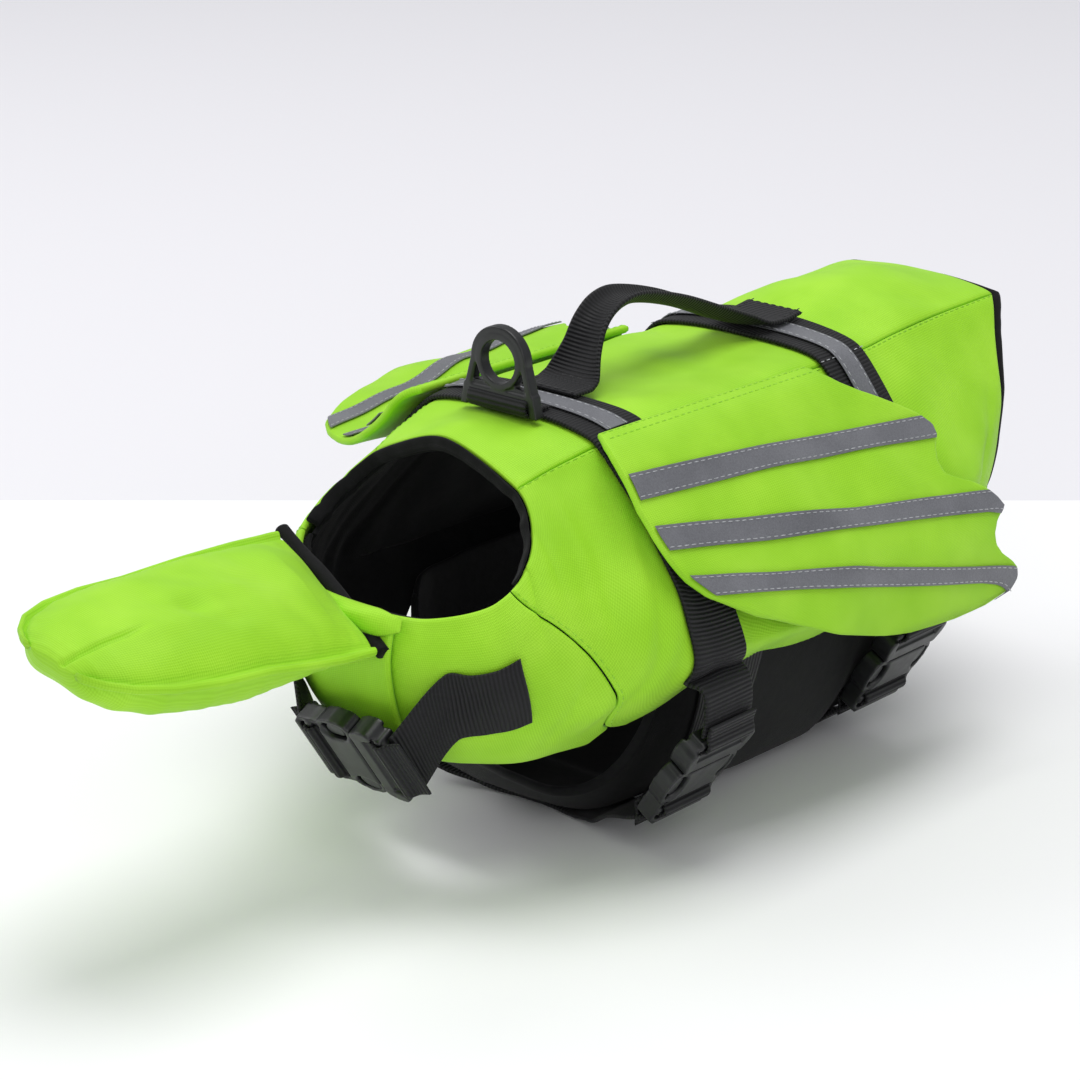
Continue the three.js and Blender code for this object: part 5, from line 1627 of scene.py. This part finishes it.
@dataclass
class Leash:
    """Moulded leash ring, the webbing roll that holds it, and the grab handle."""

    pivot: tuple[float, float, float] = (0, -74, 152.7)
    half_base: float = 17.0
    arch_radius: float = 12.2
    arch_z: float = 13.9
    hole: float = 7.4
    foot: float = -3.4
    bore: float = 2.15
    outer: float = 3.7
    half_length: float = 13.1
    handle_rows: dict[str, Array] = field(default_factory=lambda: table("y z width", [
        [-51, 151.4, 25], [-41, 151.4, 25], [-36, 153, 23], [-30, 160.5, 17], [-25, 168.5, 15], [-18, 173, 15],
        [-8, 173.6, 15], [13, 168, 15], [38, 158, 15], [50, 153.8, 19], [57, 152.4, 24], [66, 152.5, 25],
        [76, 153.6, 25]]))

    def arch(self, grow: float, low: float) -> Array:
        """Outline of the ring's arch, moved out by grow, down to low."""
        base = self.half_base - (self.half_base - self.arch_radius) * (low - self.foot) / (self.arch_z - self.foot)
        turn = np.linspace(0, math.pi, 40)
        radius = self.arch_radius + grow
        dome = np.stack([radius * np.cos(turn), self.arch_z + radius * np.sin(turn)], -1)
        return np.concatenate([[[base + grow, low]], dome, [[-base - grow, low]]])

    def ring(self) -> bpy.types.Object:
        """Leash ring: a rimmed arch with a round hole, two windows, and a bar."""
        inside = self.arch(-2.6, 4.2)
        hole = ring_outline(self.hole, (0, self.arch_z))
        windows = tuple(rounded([[side * x, y] for x, y in ((11.4, 5.6), (10.0, 11.6), (6.6, 6.2))], 0.9)
                        for side in (1, -1))
        web = self.arch(-1.0, 2.2)
        legs = [rounded([[side * (self.half_base - 3.0), self.foot], [side * self.half_base, self.foot],
                         [side * (self.half_base - 1.6), 4.6], [side * (self.half_base - 5.4), 4.6]], 0.5)
                for side in (1, -1)]
        plates = [Outline(web, -1.5, 1.5, (hole, *windows)), Outline(self.arch(0, self.foot + 4), -2.1, 2.1, (inside,)),
                  Outline(ring_outline(self.hole + 2.3, (0, self.arch_z)), -2.2, 2.2, (hole,)),
                  *(Outline(leg, -2.0, 2.0) for leg in legs)]
        bar = rounded([[-self.half_base + 1, -1.6], [self.half_base - 1, -1.6], [self.half_base - 1, 1.6],
                       [-self.half_base + 1, 1.6]], 0.6)
        plates.append(Outline(bar, -1.6, 1.6))
        place = np.array([[1, 0, 0, self.pivot[0]], [0, 0, -1, self.pivot[1]], [0, 1, 0, self.pivot[2]],
                          [0, 0, 0, 1]], float)
        return moulded("leash_ring_moulding", plates, place, 0.36, 5)

    def keeper(self) -> bpy.types.Object:
        """Webbing rolled round the ring's bar, its tail sewn down behind."""
        middle = (self.bore + self.outer) / 2
        turn = np.radians(np.linspace(-20, -338, 40))
        roll = np.stack([np.zeros(40), middle * np.cos(turn) * -1, middle * np.sin(turn) * -1], -1)
        roll[:, 1] *= -1
        tail = np.array([[0, 10.4, -1.7], [0, 8.4, -1.7], [0, 6, -1.6], [0, 4.2, -1.3]])
        line = np.concatenate([tail, roll]) + self.pivot
        side = np.broadcast_to(np.array([1.0, 0, 0]), line.shape)
        return band("ring_keeper_roll", line, side, 2 * self.half_length, self.outer - self.bore - 0.1)

    def handle_line(self) -> tuple[Array, Array]:
        """Middle line of the handle and its width."""
        rows = self.handle_rows
        line = smooth_line(np.stack([0 * rows["y"], rows["y"], rows["z"], rows["width"]], -1), 170)
        return line[:, :3], line[:, 3]

    def handle(self) -> bpy.types.Object:
        """Grab handle: webbing that lies flat at both patches and folds narrow between them."""
        line, width = self.handle_line()
        side = np.broadcast_to(np.array([1.0, 0, 0]), line.shape)
        cup = 0.22 * np.sqrt(np.clip(STRAP_WIDTH ** 2 - width ** 2, 0, None))
        return band("handle_webbing", line, -side, width, WEBBING, cup)

    def build(self, shop: Workshop) -> None:
        """Builds and dresses the three."""
        shop.fit(self.ring(), Finish.PLASTIC, ["leash_ring"], body="leash_ring")
        shop.fit(self.keeper(), Finish.WEBBING, ["ring_keeper"], Cut(held="folded"))
        shop.fit(self.handle(), Finish.WEBBING, ["handle"], Cut(held="folded"))


@dataclass
class Stitching:
    """Stitches along lines, placed by one Geometry Nodes tree for each thread."""

    length: float = 2.3
    gap: float = 1.0
    thread: float = 0.42
    lines: dict[str, list[Array]] = field(default_factory=lambda: {"neon": [], "pale": [], "black": []})

    def add(self, thread: str, points: Array) -> None:
        """Keeps a line of stitches.

        Args:
            thread: Which thread.
            points: The line, in mm, on top of the cloth.
        """
        self.lines[thread].append(np.asarray(points, float))

    def tree(self, thread: str, material: bpy.types.Material) -> bpy.types.NodeTree:
        """Node tree that turns each line into a row of flattened thread loops."""
        tree = bpy.data.node_groups.new(f"{thread}_stitches", "GeometryNodeTree")
        sizes = (("Stitch length", self.length), ("Gap", self.gap), ("Thread width", self.thread))
        tree.interface.new_socket("Geometry", in_out="INPUT", socket_type="NodeSocketGeometry")
        for name, size in sizes:
            socket = tree.interface.new_socket(name, in_out="INPUT", socket_type="NodeSocketFloat")
            socket.default_value = size * MM
        tree.interface.new_socket("Geometry", in_out="OUTPUT", socket_type="NodeSocketGeometry")

        def node(kind: str, links: dict[str, bpy.types.NodeSocket] | None = None, **settings: object
                 ) -> bpy.types.Node:
            """Adds a node with its settings and links."""
            made = tree.nodes.new(kind)
            for key, value in settings.items():
                if hasattr(made, key):
                    setattr(made, key, value)
                else:
                    made.inputs[key.replace("_", " ")].default_value = value
            for key, socket in (links or {}).items():
                tree.links.new(socket, made.inputs[key])
            return made

        given = node("NodeGroupInput").outputs
        pitch = node("ShaderNodeMath", operation="ADD")
        tree.links.new(given["Stitch length"], pitch.inputs[0])
        tree.links.new(given["Gap"], pitch.inputs[1])
        path = node("GeometryNodeMeshToCurve", {"Mesh": given["Geometry"]})
        even = node("GeometryNodeResampleCurve", {"Curve": path.outputs["Curve"], "Length": pitch.outputs[0]},
                    mode="LENGTH")
        tangent = node("GeometryNodeInputTangent")
        turn = node("FunctionNodeAlignEulerToVector", {"Vector": tangent.outputs["Tangent"]}, axis="X")
        size = node("ShaderNodeCombineXYZ", {"X": given["Stitch length"], "Y": given["Thread width"],
                                             "Z": given["Thread width"]})
        bead = node("GeometryNodeMeshUVSphere", Segments=6, Rings=5, Radius=0.5)
        lying = node("GeometryNodeTransform", {"Geometry": bead.outputs["Mesh"]}, Rotation=(0, math.pi / 2, 0))
        placed = node("GeometryNodeInstanceOnPoints", {
            "Points": even.outputs["Curve"], "Instance": lying.outputs["Geometry"],
            "Rotation": turn.outputs["Rotation"], "Scale": size.outputs["Vector"]})
        real = node("GeometryNodeRealizeInstances", {"Geometry": placed.outputs["Instances"]})
        smooth = node("GeometryNodeSetShadeSmooth", {"Geometry": real.outputs["Geometry"]})
        dressed = node("GeometryNodeSetMaterial", {"Geometry": smooth.outputs["Geometry"]}, Material=material)
        node("NodeGroupOutput", {"Geometry": dressed.outputs["Geometry"]})
        return tree

    def build(self, shop: Workshop) -> None:
        """Bakes the stitches of each thread to one plain mesh."""
        for thread, lines in self.lines.items():
            points = np.concatenate(lines) * MM
            edges, start = [], 0
            for line in lines:
                edges += [(k, k + 1) for k in range(start, start + len(line) - 1)]
                start += len(line)
            mesh = bpy.data.meshes.new(f"{thread}_lines")
            mesh.from_pydata(points.tolist(), edges, [])
            guide = bpy.data.objects.new(f"{thread}_lines", mesh)
            bpy.context.scene.collection.objects.link(guide)
            modifier = guide.modifiers.new("stitches", "NODES")
            modifier.node_group = self.tree(thread, shop.wardrobe.threads[thread])
            for item in modifier.node_group.interface.items_tree:
                if item.in_out == "INPUT" and item.socket_type == "NodeSocketFloat":
                    modifier[item.identifier] = item.default_value
            baked = bpy.data.meshes.new_from_object(
                guide.evaluated_get(bpy.context.evaluated_depsgraph_get()))
            bpy.data.objects.remove(guide)
            baked.name = f"{thread}_stitches"
            baked.materials.clear()
            baked.materials.append(shop.wardrobe.threads[thread])
            thing = bpy.data.objects.new(f"{thread}_stitches", baked)
            bpy.context.scene.collection.objects.link(thing)
            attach(thing, BODY)
            LOG.info("%s: %d faces in %d rows", thing.name, len(baked.polygons), len(lines))


@dataclass
class Seams:
    """Where the jacket is sewn, as lines for the stitching."""

    torso: Torso
    panels: BodyPanels
    wings: tuple[Wing, ...]
    leash: Leash
    sunk: float = 0.05

    def lay(self, stitching: Stitching) -> None:
        """Hands every line to the stitching."""
        lift = self.sunk
        s = np.linspace(0.1, 10.9, 260)
        for sign in (1, -1):
            seam = sign * (self.panels.seam + 0.012)
            clear = np.abs(self.torso.plain(s, np.full_like(s, seam))[:, 1] - REAR_STRAP_Y) > 13.5
            for part in (s[clear & (s < 8)], s[clear & (s > 8)]):
                stitching.add("neon", self.torso.at(part, np.full_like(part, seam), lift))
            rows = np.linspace(0.15, 4.1, 110)
            stitching.add("neon", self.torso.at(rows, sign * (self.panels.dart_at(rows) - 0.012), lift))
            hem = np.linspace(5.0, 10.95, 180)
            stitching.add("neon", self.torso.at(hem, sign * (self.panels.edge(hem) - 0.022), lift))
            across = np.linspace(REAR_STRAP_Y - 12, REAR_STRAP_Y + 12, 24)
            g = np.full_like(across, sign * self.panels.seam)
            on_strap = self.torso.at(np.array([float(self.torso.ring_at(y, k)) for y, k in zip(across, g)]), g,
                                     LAID + WEBBING + lift)
            stitching.add("pale", on_strap)
        for wing in self.wings:
            y = np.linspace(-70, 38, 120)
            for out in (1.6, 4.6):
                stitching.add("neon", wing.point(np.full_like(y, out), y, WING + lift))
            for k in range(3):
                for share in (-0.38, 0.38):
                    stitching.add("pale", wing.tape_line(k, share, WING + LAID + TAPE + lift))
        for y, reach in ((FRONT_STRAP_Y, 0.175), (REAR_STRAP_Y, 0.29)):
            g = np.linspace(-reach, reach, 120)
            for share in (-0.38, 0.38):
                line_y = y + share * TAPE_WIDTH
                stitching.add("pale", self.torso.at(self.torso.ring_at(line_y, g), g,
                                                    2 * LAID + WEBBING + TAPE + lift))
        line, width = self.leash.handle_line()
        up = unit(np.cross(np.gradient(line, axis=0), [1.0, 0, 0])) * -1
        up *= np.sign(up[:, 2:3])
        flat = width > 23.5
        for part in (flat & (line[:, 1] < 0), flat & (line[:, 1] > 0)):
            base = line[part] + up[part] * (WEBBING / 2 + lift)
            for side in (-1, 1):
                stitching.add("black", base + [side * 10.4, 0, 0])
            for end in (base[1], base[-2]):
                stitching.add("black", np.linspace(end - [10.4, 0, 0], end + [10.4, 0, 0], 14))


@dataclass
class Studio:
    """Pale floor, soft lights and the camera."""

    azimuth: float = 41.0
    elevation: float = 19.5
    distance: float = 1.2
    look_at: tuple[float, float, float] = (-0.004, -0.050, 0.096)
    lens: float = 116.0
    ground: PaleGround = field(default_factory=PaleGround)

    def camera(self) -> None:
        """Camera at the photograph's angle."""
        data = bpy.data.cameras.new("camera")
        data.sensor_width, data.lens = 36.0, self.lens
        data.clip_end = 20
        thing = bpy.data.objects.new("camera", data)
        az, el = math.radians(self.azimuth), math.radians(self.elevation)
        away = Vector((math.sin(az) * math.cos(el), -math.cos(az) * math.cos(el), math.sin(el)))
        thing.location = Vector(self.look_at) + away * self.distance
        thing.rotation_euler = away.to_track_quat("Z", "Y").to_euler()
        bpy.context.scene.collection.objects.link(thing)
        bpy.context.scene.camera = thing

    def floor(self) -> None:
        """Plain floor that turns a little cooler behind the jacket."""
        thing = mesh_object("floor", np.array([[-6000, -6000, 0], [6000, -6000, 0], [6000, 6000, 0],
                                               [-6000, 6000, 0]], float), [[0, 1, 2, 3]])
        thing.data.materials.append(self.ground.material())
        thing.location = (0, 0, -0.0002)
        thing.rotation_euler = (0, 0, math.radians(self.azimuth))

    def light(self, name: str, place: tuple[float, float, float], size: float, power: float) -> None:
        """Soft square lamp that faces the jacket."""
        data = bpy.data.lights.new(name, "AREA")
        data.size, data.energy = size, power
        thing = bpy.data.objects.new(name, data)
        thing.location = place
        thing.rotation_euler = (Vector(place) - Vector(self.look_at)).to_track_quat("Z", "Y").to_euler()
        bpy.context.scene.collection.objects.link(thing)

    def build(self) -> None:
        """Sets up the camera, floor, lamps and surrounding light."""
        self.camera()
        self.floor()
        self.light("top_light", (0.1, 0.5, 3.4), 2.2, 70)
        self.light("front_light", (1.3, -1.2, 1.1), 1.2, 8)
        self.light("far_light", (-1.6, -0.7, 1.3), 1.2, 13)
        world = bpy.data.worlds.new("studio")
        bpy.context.scene.world = world
        world.use_nodes = True
        background = world.node_tree.nodes["Background"]
        background.inputs["Color"].default_value = srgb("F4F5F8")
        background.inputs["Strength"].default_value = 0.45
        bpy.context.scene.view_settings.view_transform = "Standard"


def main() -> None:
    """Builds the jacket and its studio."""
    logging.basicConfig(level=logging.INFO, format="%(message)s")
    Studio().build()
    shop = Workshop(Wardrobe())
    torso, cradle = Torso(), Cradle()
    panels = BodyPanels(torso)
    panels.build(shop)
    BellyPanel(cradle).build(shop)
    harness = Harness(torso, cradle)
    harness.build(shop)
    wings = (Wing(1, table("out slope", [[0, 8], [10, 36], [22, 54], [60, 58], [80, 74], [109, 88]])),
             Wing(-1, table("out slope", [[0, 11], [12, 60], [30, 36], [50, -2], [70, -4], [90, 14], [104, 26]])))
    for wing in wings:
        wing.build(shop)
    buckles = [
        Buckle("front_belly_buckle", (71.5, FRONT_STRAP_Y, 35), (-0.56, 0, -0.83), (0.83, 0, -0.56)),
        Buckle("rear_belly_buckle", (65, REAR_STRAP_Y, 36.5), (-0.52, 0, -0.854), (0.854, 0, -0.52)),
        Buckle("chest_buckle", (4.5, -149, 51.5), (-0.994, 0.07, -0.075), (-0.02, -0.85, -0.52)),
    ]
    for buckle in buckles:
        buckle.build(shop)
    for sign, side in ((1, "left"), (-1, "right")):
        shop.fit(harness.chest(sign, buckles[2]), Finish.WEBBING, [f"{side}_chest_strap"], Cut())
    NeckFinish(torso).build(shop)
    ChinFloat().build(shop)
    leash = Leash()
    leash.build(shop)
    stitching = Stitching()
    Seams(torso, panels, wings, leash).lay(stitching)
    stitching.build(shop)


if __name__ == "__main__":
    main()
